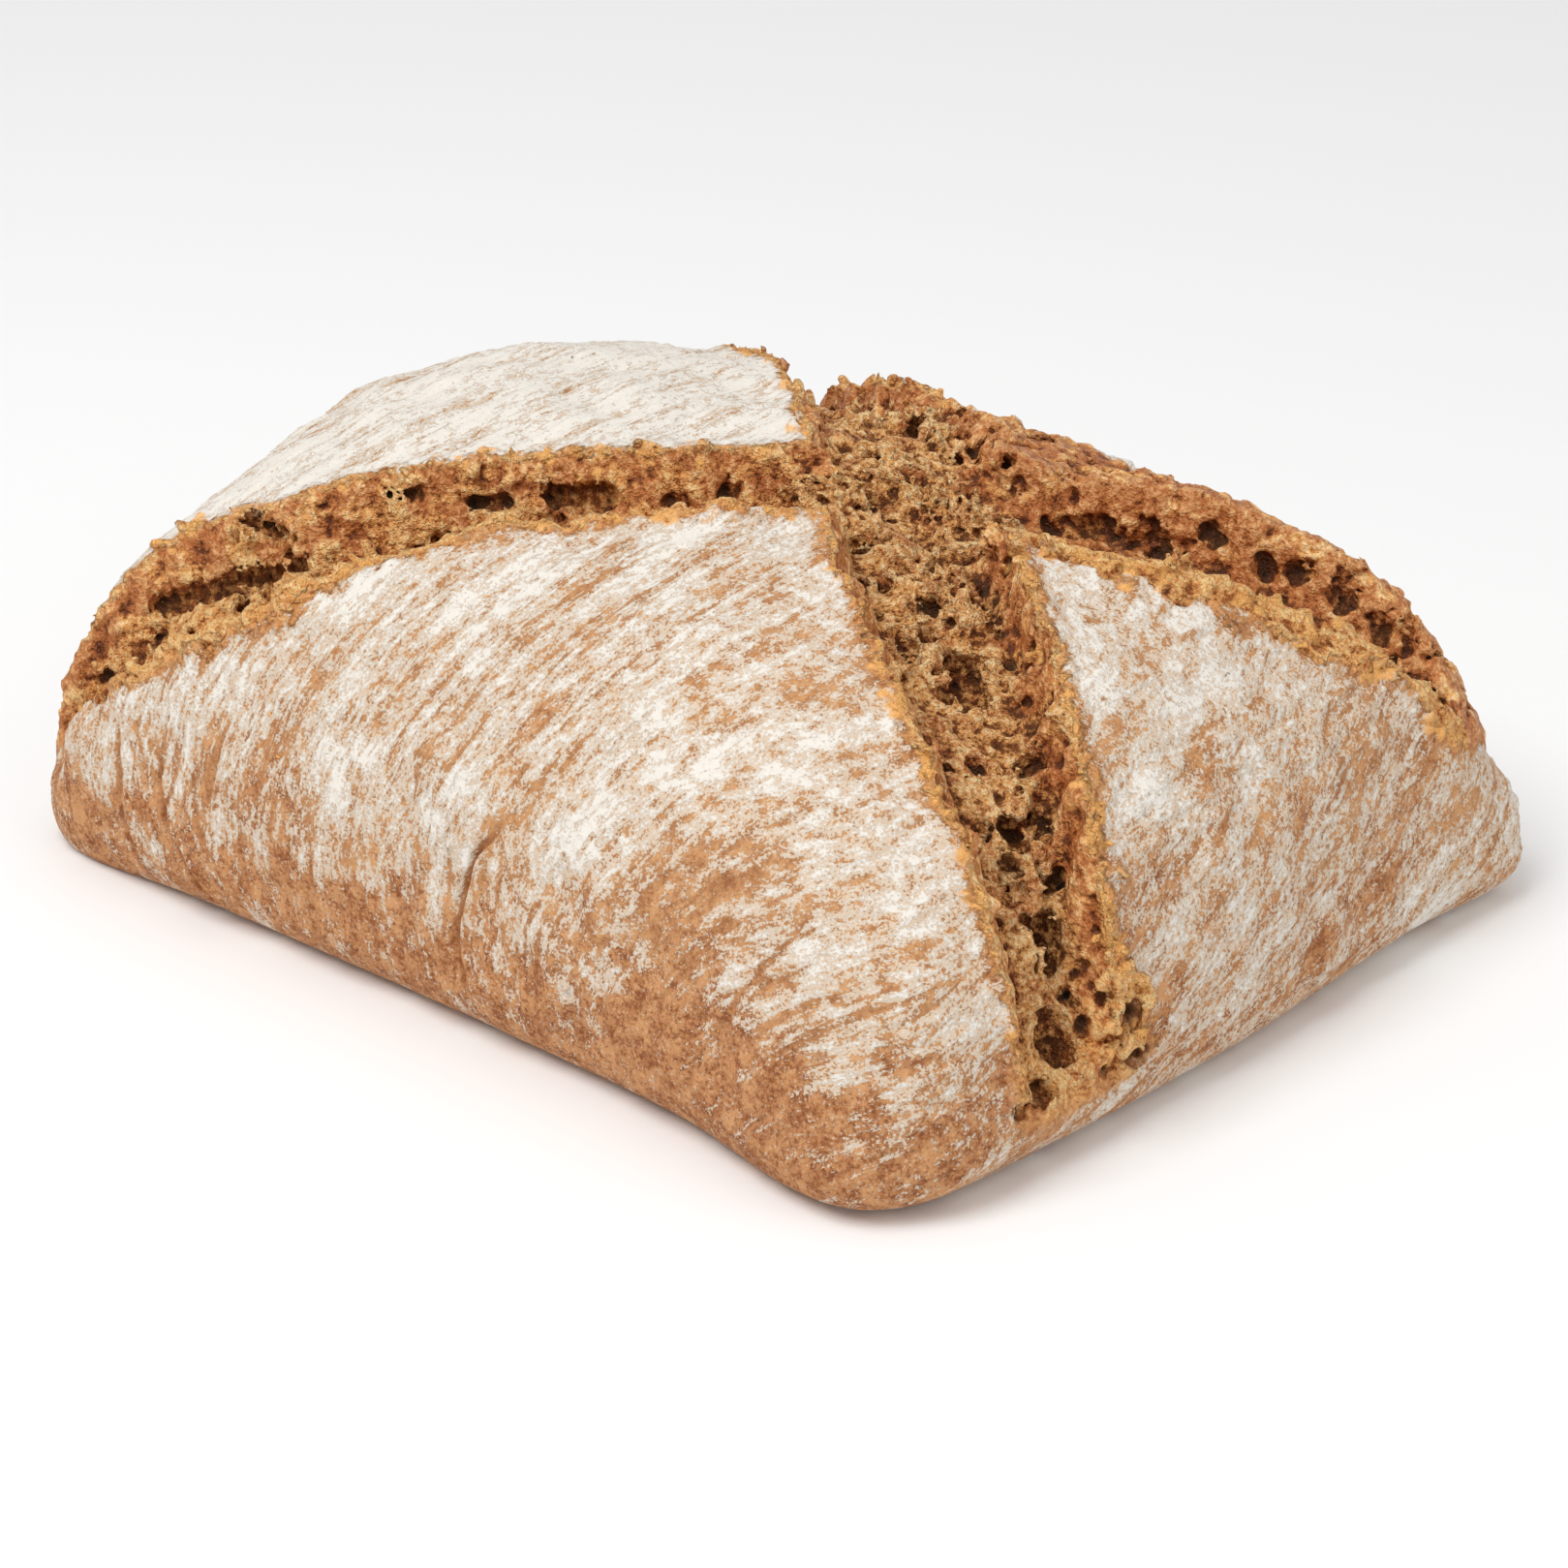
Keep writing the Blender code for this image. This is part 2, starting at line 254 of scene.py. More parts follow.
# What the material reads
SUNK, LIFTED = (0.0016, 0.0026), (0.0026, 0.0034)    # off the uncut skin by this much is crumb
RIM_EDGE, RIM_SOFT = 0.0008, 0.0014                  # how far the golden rim runs out, and fades
THIN_EDGE = 0.0035        # how far in from the torn edge the flour is thin
BARE_LEFT, BARE_RIGHT = 0.016, 0.024                 # height of the bare foot of the front side
BARE_WANDER = 0.003
# The brown walls under the rims: how far in they end, how softly, how far in they start, wander
WALL_FOOT, WALL_SOFT, WALL_TOP, WALL_WANDER = 0.0036, 0.002, 0.0008, 0.0012
WALL_LONG, WALL_PART = (-0.0008, 0.0060), (0.02, 0.05)    # further in on the long cut, left to right
LOBE_WALL = 0.85          # how brown the fourth lobe's torn crest is
# Golden crumb: along the near rim, low on the far wall, at the cross cut's front end, on every rim
GOLDEN_NEAR, GOLDEN_FAR = (-0.0080, -0.0030), (-0.01, 0.03)
GOLDEN_FRONT, GOLDEN_RIM = (0.104, 0.112), (-0.0010, 0.0004)
NUGGET_EDGE, NUGGET_SPREAD = 0.0003, 0.0010          # how far outside the rims nuggets sit
CLOSE, HOLLOW = 0.0007, 0.0022    # reaches over which the bread round a place is averaged, for the crumb's painted shade
# Flour lost on rims, beside them, on crumb and on the bare foot
RIM_LOSS, THIN_LOSS, TORN_LOSS, FOOT_LOSS = 0.9, 0.35, 2.0, 0.65
# Flour on the left and the right of the front, and how much more there is higher up
FLOUR_LEFT, FLOUR_RIGHT = (0.60, 0.22, 0.030, 0.070), (0.55, 0.25, 0.035, 0.080)
FLOUR_FAR, FLOUR_CORNER, FLOUR_WANDER = 1.42, 0.12, 0.06    # behind the long cut, near left, at random

# Where flour lies thick or has come off: x, y, z, radius, all in millimetres, and how much
DUSTED = (
    (-30, -84, 43, 4.5, 0.9),
    (-27, -86, 36, 4, 0.8),
    (-23, -83, 47, 3, 0.6),
    (3, -83, 47, 4, 0.8),
    (-3, -85, 39, 4.5, 0.6),
    (4, -86, 35, 4.5, 0.6),
    (28, -83, 45, 5.5, 0.7),
    (31, -79, 55, 4, 0.6),
    (34, -73, 62, 5.5, 0.5),
    (-4, -56, 76, 9, 0.35),
    (-16, -64, 71, 6, 0.4),
    (-37, -66, 69, 7.5, 0.7),
    (-61, -81, 50, 5.5, 0.35),
    (-73, -85, 38, 5, 0.35),
    (27, -24, 82, 7, 0.5),
    (11, -37, 81, 9, 0.35),
    (45, -34, 80, 7.5, 0.4),
    (34, -67, 67, 6, 0.3),
    (70, -65, 65, 9, 0.3),
    (-4, -88, 21, 4, 0.5),
    (32, -88, 19, 2.2, 1.1),
    (96, -83, 34, 10, 0.3),
    (107, -81, 22, 6, 0.4),
    (105, -88, 15, 5, 0.4),
    (110, -69, 33, 5, 0.3),
    (94, -66, 55, 7, 0.35),
    (13, -74, 61, 5.5, -0.35),
    (-41, -87, 33, 8, -0.3),
    (-53, -85, 40, 6, -0.15),
    (56, -82, 49, 8, -0.2),
    (33, -86, 37, 6, -0.25),
    (56, -87, 32, 8, -0.3),
    (71, -89, 26, 12, -0.3),
    (-76, -89, 22, 8, -0.35),
    (71, 6, 77, 12, 0.45),
    (81, 16, 73, 8, 0.35),
    (96, 15, 64, 6, 0.5),
    (93, 32, 66, 5, 0.35),
    (96, -1, 65, 4.5, 0.5),
    (87, -16, 71, 6, 0.5),
    (106, 7, 54, 5, 0.55),
    (109, 22, 48, 2.2, 0.7),
    (104, -18, 56, 4.5, 0.6),
    (106, -13, 52, 3.5, 0.5),
    (103, -24, 55, 3.5, 0.5),
    (114, 20, 34, 4.8, 0.6),
    (114, -6, 36, 4.5, 0.5),
    (115, 5, 34, 2.5, 0.6),
    (117, 6, 24, 4, 0.6),
    (116, -7, 31, 3.5, 0.5),
    (115, -22, 32, 3.5, 0.5),
    (116, 67, 19, 5, 0.4),
    (113, 66, 33, 4.5, 0.4),
    (114, 53, 6, 8, 0.8),
    (116, 9, 28, 3.5, -0.5),
    (116, 28, 19, 6, -0.3),
    (110, -23, 44, 4, -0.4),
    (115, 44, 26, 7, -0.25),
    (112, 14, 42, 4.5, -0.3),
    (-68, -38, 76, 4, -0.7),
    (-64, -17, 81, 4, -0.3),
)

PIECES = (
    "crust_front", "crust_right", "crust_left", "crust_back", "crust_base", "crumb_long", "crumb_cross",
)
CRUST_FRONT, CRUST_RIGHT, CRUST_LEFT, CRUST_BACK, CRUST_BASE, CRUMB_LONG, CRUMB_CROSS = range(7)

# Colours as they look on screen, from 0 to 255
TAN_DARK, TAN, TAN_LIGHT, TAN_PALE = (136, 78, 42), (186, 128, 82), (208, 153, 104), (216, 166, 114)
FLOUR_THIN, FLOUR_THICK = (226, 207, 184), (234, 227, 217)
# In the crumb, the dark and light golds, toasts and crumbs are painted shade and painted light, picked
# by its tone; on the crust's rim the golds follow random grit
GOLD_DARK_AND_SHADED, GOLD, GRAIN_AND_LIT_GOLD = (168, 94, 42), (238, 168, 98), (255, 212, 146)
TOAST_DARK_AND_SHADED, TOAST, TOAST_LIGHT_AND_LIT = (96, 46, 18), (186, 110, 56), (230, 170, 112)
CRUMB_DARK_AND_SHADED, CRUMB, CRUMB_LIGHT_AND_LIT = (124, 70, 30), (232, 166, 96), (255, 220, 164)
# The second colour is painted shade, deep in the crumb's hollows
NUGGET, PIT_SHADE = (250, 186, 108), (72, 47, 28)

# The material's noises: length of their features, octaves, roughness
CRUST_MOTTLE, CRUST_SPECKS, CRUST_DUST = (0.0040, 3, 0.6), (0.0009, 3, 0.7), (0.0006, 2, 0.6)
FLOUR_SPECKS, FLOUR_DUST = (0.00055, 2, 0.6), (0.0004, 1, 0.6)
GRIT, SHREDS, NUGGETS = (0.0010, 3, 0.65), (0.0019, 3, 0.72), (0.0018, 1, 0.5)
CRUMB_FLECKS, CRUMB_MOTTLE, CRUMB_BURNT = (0.0010, 3, 0.68), (0.0026, 5, 0.72), (0.0070, 2, 0.6)
# Across the stretched skin: streaks, gaps, bands and patches, then also stretched along it, and skewed
SKIN_PATTERNS = (
    (0.0014, 1, 0.5, 16, 0),
    (0.0060, 1, 0.5, 4, 0),
    (0.0040, 1, 0.5, 8, 0.1),
    (0.0046, 3, 0.6, 1.8, 0),
)
CLUMPS, SIDE_DRAWN, END_DRAWN = (0.0012, 4, 0.72), 2.3, 1.5    # and how far clumps are stretched
CELLS = ((0.0021, 0.55), (0.0010, 0.45))     # the crumb's fine cells: size, share
CELL_BEND, BEND_WAVES = 0.0016, 700.0        # how far they are bent, and how many bends to a metre
# How much each pattern adds to the flour, and the sums at which it covers and is thick
FLOUR_PATCHES, FLOUR_BANDS, FLOUR_CLUMPS, FLOUR_SPECKLE = 1.6, 1.5, 4.0, 2.4
FLOUR_CREASE, FLOUR_FURROW = -1.2, -0.45
COVERED, THICK, VEILED, VEIL = (0.36, 0.52), (0.72, 1.30), (0.25, 0.75), 0.34
STREAKED, GAPPED = (0.45, 0.37), (0.36, 0.58)      # furrows lie where streaks are low and gaps high
# The crust's shading: mottling, how far it holds specks back, specks, dust, and how much dust shows
MOTTLED, MOTTLE_HOLD, SPECKED, DUSTY, DUST_SHARE = (0.35, 0.7), -0.5, (0.15, 0.45), (0.60, 0.68), 0.5
# How much the furrows show bare crust, how much painted shade the creases get, and how much the golden
# rim and the flour's cover show
FURROW_SHARE, CREASE_SHADE_SHARE, RIM_SHARE, COVER_SHARE = 0.22, 0.55, 0.7, 0.80
# The crumb's painted light and shade: painted light in the open, painted shade where bread lies near or
# all round, within limits
OPEN_LIGHT, CLOSE_SHADE, HOLLOW_SHADE, TONE_LIMITS = 2.85, -2.4, -3.4, (-0.8, 0.30)
# Random flecks, calmer on the walls; painted light high on the shreds and cells, painted shade low in
# them
FLECK_TONE, WALL_CALM, SHRED_PAINTED_SHADE, SHRED_MIDDLE = 4.4, -0.4, 2.4, -1.15
DARK_TO_MIDDLE, MIDDLE_TO_LIGHT, GOLDEN_LIFT = (-0.70, 0.10), (0.05, 0.90), 0.12
# The last span: how far bread all round a place darkens it into the painted pit shade
WARM, BURNT, PIT_SHADE_SPAN = (0.1, 0.8), (0.05, 0.75), (0.57, 0.80)
WALL_BURNT, GOLDEN_BURNT, PATCH_BURNT = 0.75, -0.35, (4.0, -1.9)
SHREDS_SHARE, CELLS_SHARE, NUGGETED, NUGGET_SHARE = 0.85, 0.18, (0.95, 1.12), 0.85
ROUGHNESS, BURNT_GLOSS, SHINE = 0.88, -0.42, 0.3
# The finest relief: of grit, thick flour, thin flour, furrows and dust, and of nuggets and crumb
RISES, NUGGET_RISE = (0.0004, 0.00012, 0.00008, -0.00006, 0.00014), 0.00025
SHRED_RISE, SHRED_WALL = 0.0042, -0.0021

# The view, its azimuth and elevation in degrees
VIEW_AZIMUTH, VIEW_ELEVATION = 41.5, 26.5
VIEW_DISTANCE = 1.0
VIEW_HEIGHT = 0.0161
VIEW_ASIDE = 0.0029       # the loaf stands this far left of the view's middle
LENS, SENSOR = 121.7, 36.0
# Lamps: name, azimuth, elevation, distance, size, power
LAMPS = (("key", 0, 60, 1.2, 0.7, 7.7), ("fill", 95, 35, 1.4, 0.9, 2.2))
SURROUND, SURROUND_POWER = (1, 1, 1, 1), 0.62
FLOOR_COLOUR, FLOOR_ROUGHNESS, FLOOR_REACH = (0.95, 0.95, 0.95, 1), 0.9, 6.0


def turn_between(angle, direction):
    """The angle from a direction, between minus pi and pi."""
    return (angle - direction + np.pi) % (2 * np.pi) - np.pi


def hill(distance, spread):
    """A smooth hill, one at no distance."""
    return np.exp(-(distance / spread) ** 2)


def ramp(value, low, high):
    """Rises smoothly from 0 at low to 1 at high."""
    share = np.clip((value - low) / (high - low), 0, 1)
    return share * share * (3 - 2 * share)


# The uncut loaf

def outline(angle):
    """The widest outline's radius in a direction."""
    across = np.abs(np.cos(angle) / HALF_LENGTH) ** PLAN_POWER
    along = np.abs(np.sin(angle) / HALF_WIDTH) ** PLAN_POWER
    radius = (across + along) ** (-1 / PLAN_POWER)
    for direction, spread, reach in SWELLS:
        radius = radius + reach * hill(turn_between(angle, direction), spread)
    return radius


def profile_power(angle):
    """How full the profile is in a direction."""
    cornerness = 0
    for direction in (-CORNER, CORNER, math.pi - CORNER, CORNER - math.pi):
        cornerness = cornerness + hill(turn_between(angle, direction), CORNER_SPREAD)
    cornerness = np.clip(cornerness, 0, 1)
    power = CORNER_POWER * cornerness + SIDE_POWER * (1 - cornerness)
    for direction, spread, change in SHOULDERS:
        power = power + change * hill(turn_between(angle, direction), spread)
    return power


def axis_points(axis):
    """The grid's coordinates along an axis."""
    return np.arange(FIELD_LOW[axis], FIELD_HIGH[axis], CELL, dtype=np.float32)


def skin_distance(x, y, heights):
    """Distance from the uncut loaf's skin over the whole grid, negative inside."""
    angle, radius = np.arctan2(y, x), np.hypot(x, y)
    edge, power = outline(angle), profile_power(angle)
    direction, spread, gain = FLAT_TOE
    foot = FOOT_SHARE + gain * hill(turn_between(angle, direction), spread)
    toes, lift = 0, 1
    for direction, reach in TOES:
        toes = toes + reach / TOE_RADIUS * hill(turn_between(angle, direction), TOE_SPREAD)
    for centre_x, centre_y, spread, rise in HUMPS:
        lift = lift + rise / CROWN * hill(np.hypot(x - centre_x, y - centre_y), spread)
    value = np.empty(x.shape + heights.shape, np.float32)
    for level, height in enumerate(heights):
        flat = height / lift
        share = radius / (1 + toes * hill(flat, TOE_HEIGHT)) / edge
        if height >= WAIST:
            rise = np.clip(flat - WAIST, 0, None) / (CROWN - WAIST)
            value[..., level] = (share ** power + rise ** CROWN_POWER) ** (1 / CROWN_POWER) - 1
        else:
            past = np.clip(share - foot, 0, None) / (1 - foot)
            value[..., level] = (np.hypot(past, (WAIST - flat) / WAIST) - 1) * WAIST
    dome = value[..., heights >= WAIST]
    steep = np.sqrt(sum(slope ** 2 for slope in np.gradient(dome, CELL)))
    value[..., heights >= WAIST] = dome / np.maximum(steep, 1e-3)
    return np.clip(value, -DEEP, DEEP)


# Noise

def noise_cube(low, high, fall, seed):
    """A cube of noise that repeats, with from low to high waves along a side and a deviation of 1."""
    cube = np.random.default_rng(seed).standard_normal((CUBE, CUBE, CUBE))
    turns = np.fft.fftfreq(CUBE, 1 / CUBE)
    half_turns = np.fft.rfftfreq(CUBE, 1 / CUBE)
    waves = np.sqrt(turns[:, None, None] ** 2 + turns[None, :, None] ** 2 + half_turns ** 2)
    kept = (waves >= low) & (waves <= high)
    spectrum = np.fft.rfftn(cube) * np.where(kept, np.maximum(waves, 1) ** -fall, 0)
    cube = np.fft.irfftn(spectrum, s=(CUBE, CUBE, CUBE))
    return (cube / cube.std()).astype(np.float32)


def noise_at(cube, places, stretch=(1, 1, 1), shift=0.0):
    """The cube's noise at each place, its tile stretched along each axis."""
    spots = places / (TILE * np.array(stretch)) * CUBE + shift
    steps, shares = [], []
    for axis in range(3):
        low = np.floor(spots[:, axis])
        part = (spots[:, axis] - low).astype(np.float32)
        low = low.astype(np.int32)
        unit = CUBE ** (2 - axis)
        steps.append((low % CUBE * unit, (low + 1) % CUBE * unit))
        shares.append((1 - part, part))
    values = cube.ravel()
    total = np.zeros(len(places), np.float32)
    for i, j, k in np.ndindex(2, 2, 2):
        weight = shares[0][i] * shares[1][j] * shares[2][k]
        total += weight * values[steps[0][i] + steps[1][j] + steps[2][k]]
    return total


# The cuts

def smooth_path(stations):
    """Catmull-Rom samples through a cut's stations."""
    knots = np.array(stations)
    knots = np.vstack([2 * knots[0] - knots[1], knots, 2 * knots[-1] - knots[-2]])
    steps = np.arange(STEPS_PER_STATION)[:, None] / STEPS_PER_STATION
    samples = []
    for before, start, end, after in zip(knots, knots[1:], knots[2:], knots[3:]):
        bend = 2 * before - 5 * start + 4 * end - after
        twist = 3 * start - before - 3 * end + after
        samples.append(start + 0.5 * steps * ((end - before) + steps * (bend + steps * twist)))
    return np.vstack(samples)


def cut_map(x, y, stations):
    """Over the plan: how far outside a cut's edge, how deep it is, and on which side of its line."""
    path = smooth_path(stations)
    heading = np.gradient(path[:, :2], axis=0)
    outside, depth, side = np.empty(x.shape), np.empty(x.shape), np.empty(x.shape)
    for row in range(len(x)):
        east = x[row][:, None] - path[:, 0]
        north = y[row][:, None] - path[:, 1]
        away = np.hypot(east, north)
        nearest = np.argmin(away, axis=1)
        each = np.arange(len(nearest))
        outside[row] = away[each, nearest] - path[nearest, 2]
        depth[row] = np.clip(path[nearest, 3], 0, None)
        turn = heading[nearest, 0] * north[each, nearest] - heading[nearest, 1] * east[each, nearest]
        side[row] = np.sign(turn) * away[each, nearest]
    return outside, depth, side


def fanned(places, turn=0.0):
    """Places with x followed down along the fan of stretch marks."""
    x, y, z = places.T
    x = x - FAN_LEAN * z - FAN_BEND * z ** 2
    x = x / (1 + FAN_SPREAD * np.clip(x, 0, None) * z)
    return np.stack([x + turn * y, y, z], axis=1)


def map_at(plan, places):
    """A plan map's value at each place, between its points."""
    spot = (places[:, :2] - FIELD_LOW[:2]) / CELL
    low = np.clip(np.floor(spot).astype(np.int32), 0, np.array(plan.shape) - 2)
    part = spot - low
    total = 0
    for corner in np.ndindex(2, 2):
        weight = np.prod(np.where(corner, part, 1 - part), axis=1)
        total = total + weight * plan[low[:, 0] + corner[0], low[:, 1] + corner[1]]
    return total


def field_at(field, places):
    """A field's value at each place, between its points."""
    spot = (places - FIELD_LOW) / CELL
    low = np.clip(np.floor(spot).astype(np.int32), 0, np.array(field.shape) - 2)
    part = (spot - low).astype(np.float32)
    total = np.zeros(len(places), np.float32)
    for corner in np.ndindex(2, 2, 2):
        index = low + corner
        weight = np.prod(np.where(corner, part, 1 - part), axis=1)
        total += weight * field[index[:, 0], index[:, 1], index[:, 2]]
    return total


class Loaf:
    """The fields of the loaf on one grid."""

    def __init__(self):
        self.axes = [axis_points(axis) for axis in range(3)]
        self.x, self.y = np.meshgrid(self.axes[0], self.axes[1], indexing="ij")
        self.skin = skin_distance(self.x, self.y, self.axes[2])
        self.coarse = noise_cube(*COARSE)
        self.fine = noise_cube(*FINE)
        self.sharp = noise_cube(*SHARP)
        self.shaggy = noise_cube(*SHAGGY)
        self.carve()

    def carve(self):
        """Works the two cuts and their rims into the field."""
        plan = self.plan()
        wander = EDGE_WANDER * noise_at(self.coarse, plan).reshape(self.x.shape)
        wander += EDGE_TEAR * noise_at(self.fine, plan).reshape(self.x.shape)
        self.long = cut_map(self.x, self.y, LONG_CUT)
        self.cross = cut_map(self.x, self.y, CROSS_CUT)
        long_wall = np.where(self.long[2] > 0, FAR_WALL, NEAR_WALL)
        long_depth = self.long[1] * ramp(-self.long[0] - wander, 0, long_wall)
        cross_depth = self.cross[1] * ramp(-self.cross[0] - wander, 0, SIDE_WALL)
        self.depth = np.maximum(long_depth, cross_depth)
        self.outside = np.minimum(self.long[0], self.cross[0]) + wander
        rim = RIM_RISE * hill(np.clip(self.outside - RIM_WIDTH / 2, -RIM_WIDTH, None), RIM_WIDTH)
        east, north, spread, dip = SADDLE
        saddle = dip * hill(np.hypot(self.x - east, self.y - north), spread)
        standing = ramp(self.axes[2], CUT_LOW, CUT_FULL)
        self.field = self.skin + (self.depth - rim + saddle)[..., None] * standing
        self.gold = np.full_like(self.field, DEEP)
        self.torn_edge = self.tear(plan)
        self.low = self.crumb_foot(wander)

    def plan(self):
        """The grid's points on the ground."""
        return np.stack([self.x.ravel(), self.y.ravel(), np.zeros(self.x.size)], axis=1)

    def tear(self, plan):
        """How far past the rims the crust is torn, over the plan; also marks the fourth lobe."""
        far = ramp(self.long[2], -SIDE_BLEND, SIDE_BLEND)
        along = ramp(self.cross[0] - self.long[0], -2 * SIDE_BLEND, 2 * SIDE_BLEND)
        left, middle, right = TORN_NEAR
        near = middle + (left - middle) * (1 - ramp(self.x, *TORN_LEFT_PART))
        near = near - DRAWN_LEFT * (1 - ramp(self.x, *DRAWN_PART))
        right_part = ramp(self.x, *TORN_RIGHT_PART) * (1 - ramp(self.x, *TORN_RIGHT_FADE))
        near = near + (right - middle) * right_part
        end_part = ramp(self.x, *TORN_END_PART) * ramp(-self.cross[2], 0, 2 * SIDE_BLEND)
        cross = TORN_CROSS + TORN_END * end_part
        reach = cross + (near + (TORN_FAR - near) * far - cross) * along
        wander = noise_at(self.coarse, plan, shift=7).reshape(self.x.shape)
        reach = reach * (1 + TORN_WANDER * wander)
        self.lobe = far * ramp(-self.cross[2], -SIDE_BLEND, SIDE_BLEND) * ramp(self.x, *LOBE_PART)
        from_long = self.long[0] + 8 * EDGE_WANDER * (1 + TORN_WANDER * wander)
        self.lobe = self.lobe * (1 - (1 - LOBE_LEFT) * ramp(from_long, *LOBE_NARROWS))
        return reach + (TORN_LOBE - reach) * self.lobe

    def crumb_foot(self, wander):
        """How far down the torn crumb reaches, over the plan."""
        climb = LEFT_END + LEFT_CLIMB * np.clip(self.x - LEFT_FOOT, 0, LEFT_RUN)
        low = CUT_LOW + climb * (self.x < LEFT_STOP) * (1 - ramp(self.y, *LEFT_PART))
        low += RIGHT_END * ramp(self.x, *RIGHT_PART) * ramp(self.y, *RIGHT_SIDE)
        back = BACK_END + BACK_TAPER * np.abs(self.cross[2]) + wander
        return low + back * ramp(self.y, *BACK_PART) * (self.x < 0)

    def near(self, reach):
        """Index and place of the grid points within reach of the surface."""
        index = np.flatnonzero(np.abs(self.field.ravel()) < reach)
        grid = np.stack(np.unravel_index(index, self.field.shape), axis=1)
        return index, grid * CELL + np.array(FIELD_LOW)

    def window(self, centre, reach):
        """The slices of the grid round a place, and the offsets of its points from that place."""
        slices, offsets = [], []
        for axis, points in enumerate(self.axes):
            start = int((centre[axis] - reach - FIELD_LOW[axis]) / CELL)
            stop = int((centre[axis] + reach - FIELD_LOW[axis]) / CELL) + 2
            part = slice(max(start, 0), min(stop, len(points)))
            slices.append(part)
            offsets.append(points[part] - centre[axis])
        return tuple(slices), np.meshgrid(*offsets, indexing="ij")

    def run(self, start, end, radius, ragged):
        """Signed distance to a ragged run with round ends, in its own window."""
        start, end, radius = np.array(start) * MM, np.array(end) * MM, radius * MM
        middle, half = (start + end) / 2, (end - start) / 2
        part, offsets = self.window(middle, np.abs(half).max() + radius + SHAG_REACH)
        share = sum(offset * step for offset, step in zip(offsets, half)) / max(half @ half, 1e-9)
        share = np.clip(share, -1, 1)
        away = np.sqrt(sum((offset - share * step) ** 2 for offset, step in zip(offsets, half)))
        return part, away - radius + ragged * self.texture(part)

    def texture(self, part):
        """The fine noise at the grid's own points."""
        spots = [np.arange(piece.start, piece.stop) % CUBE for piece in part]
        return self.sharp[np.ix_(*spots)]

    def ball(self, centre, sizes, turn, ragged):
        """Signed distance to a ragged, turned ellipsoid in its own window."""
        part, (east, north, rise) = self.window(centre, max(sizes) * (1 + SHAG_REACH / min(sizes)))
        ahead = (east * math.cos(turn) + north * math.sin(turn)) / sizes[0]
        beside = (north * math.cos(turn) - east * math.sin(turn)) / sizes[1]
        away = np.sqrt(ahead ** 2 + beside ** 2 + (rise / sizes[2]) ** 2) - 1
        return part, (away + ragged * self.texture(part)) * min(sizes)

    def hollow(self, centre, sizes, turn, ragged):
        """Takes an air pocket out of the crumb."""
        part, away = self.ball(centre, sizes, turn, ragged)
        self.field[part] = np.maximum(self.field[part], -away)

    def mounds(self):
        """Stands the large lumps of crumb up in the cuts."""
        for start, end, radius in MOUNDS:
            part, away = self.run(start, end, radius, MOUND_RAGGED)
            self.field[part] = np.minimum(self.field[part], away)

    def pores(self):
        """Pits the torn crumb with hundreds of small air pockets."""
        pick = np.random.default_rng(SEED)
        crest = (self.lobe > 0.5) & (self.outside < CREST_PORES)
        torn = ((self.depth > PORE_DEPTH) | crest)[..., None] & self.above()
        front_end = (self.x > FRONT_END[0]) & (self.y < 0)
        front_end &= self.outside < self.torn_edge - FRONT_END[1]
        torn |= front_end[..., None] & (self.axes[2] > FRONT_END[2])
        for count, smallest, largest, low, high in PORES:
            inside = (self.field > low) & (self.field < high) & torn
            for place in self.spots(pick, inside, count):
                radius = smallest + (largest - smallest) * pick.random() ** 2
                sizes = radius * PORE_STRETCH ** pick.uniform(-0.6, 0.8, 3)
                self.hollow(place, sizes, pick.uniform(0, math.pi), PORE_RAGGED)

    def pockets(self):
        """Opens the air pockets that stand out, smooth inside."""
        for start, end, radius in POCKETS:
            part, away = self.run(start, end, radius, POCKET_RAGGED)
            self.field[part] = np.maximum(self.field[part], -away)

    def above(self):
        """Where the grid is high enough for torn crumb."""
        return self.axes[2] > self.low[..., None] + ABOVE_FOOT

    def tufts(self):
        """Stands tufts of crumb up in the cuts."""
        pick = np.random.default_rng(SEED + 3)
        torn = self.depth > TUFT_DEPTH
        for count, smallest, largest in TUFTS:
            near = (np.abs(self.field) < CELL) & torn[..., None] & self.above()
            for place in self.spots(pick, near, count):
                radius = smallest + (largest - smallest) * pick.random() ** 2
                sizes = radius * PORE_STRETCH ** pick.uniform(-0.8, 1.0, 3)
                part, away = self.ball(place, sizes, pick.uniform(0, math.pi), TUFT_RAGGED)
                self.field[part] = np.minimum(self.field[part], away)

    def grains(self):
        """Sets golden grains of dough along the rims."""
        pick = np.random.default_rng(SEED + 4)
        reach = np.maximum(self.torn_edge, 0)
        band = (self.outside > -GRAIN_BAND[0]) & (self.outside < reach + GRAIN_BAND[1])
        band &= self.lobe < 0.5
        gaps = noise_at(self.coarse, self.plan(), (0.8, 0.8, 0.8), shift=41)
        band &= gaps.reshape(self.x.shape) > 0.1
        near = (np.abs(self.field) < CELL) & band[..., None] & self.above()
        for place in self.spots(pick, near, GRAINS):
            radius = pick.uniform(*GRAIN_RADII)
            sizes = radius * 1.3 ** pick.uniform(-1, 1, 3)
            part, away = self.ball(place, sizes, pick.uniform(0, math.pi), GRAIN_RAGGED)
            self.field[part] = np.minimum(self.field[part], away)
            self.gold[part] = np.minimum(self.gold[part], away)

    def spots(self, pick, mask, count):
        """Random grid places where a mask holds."""
        chosen = pick.choice(np.flatnonzero(mask.ravel()), count)
        grid = np.stack(np.unravel_index(chosen, mask.shape), axis=1)
        return grid * CELL + np.array(FIELD_LOW)

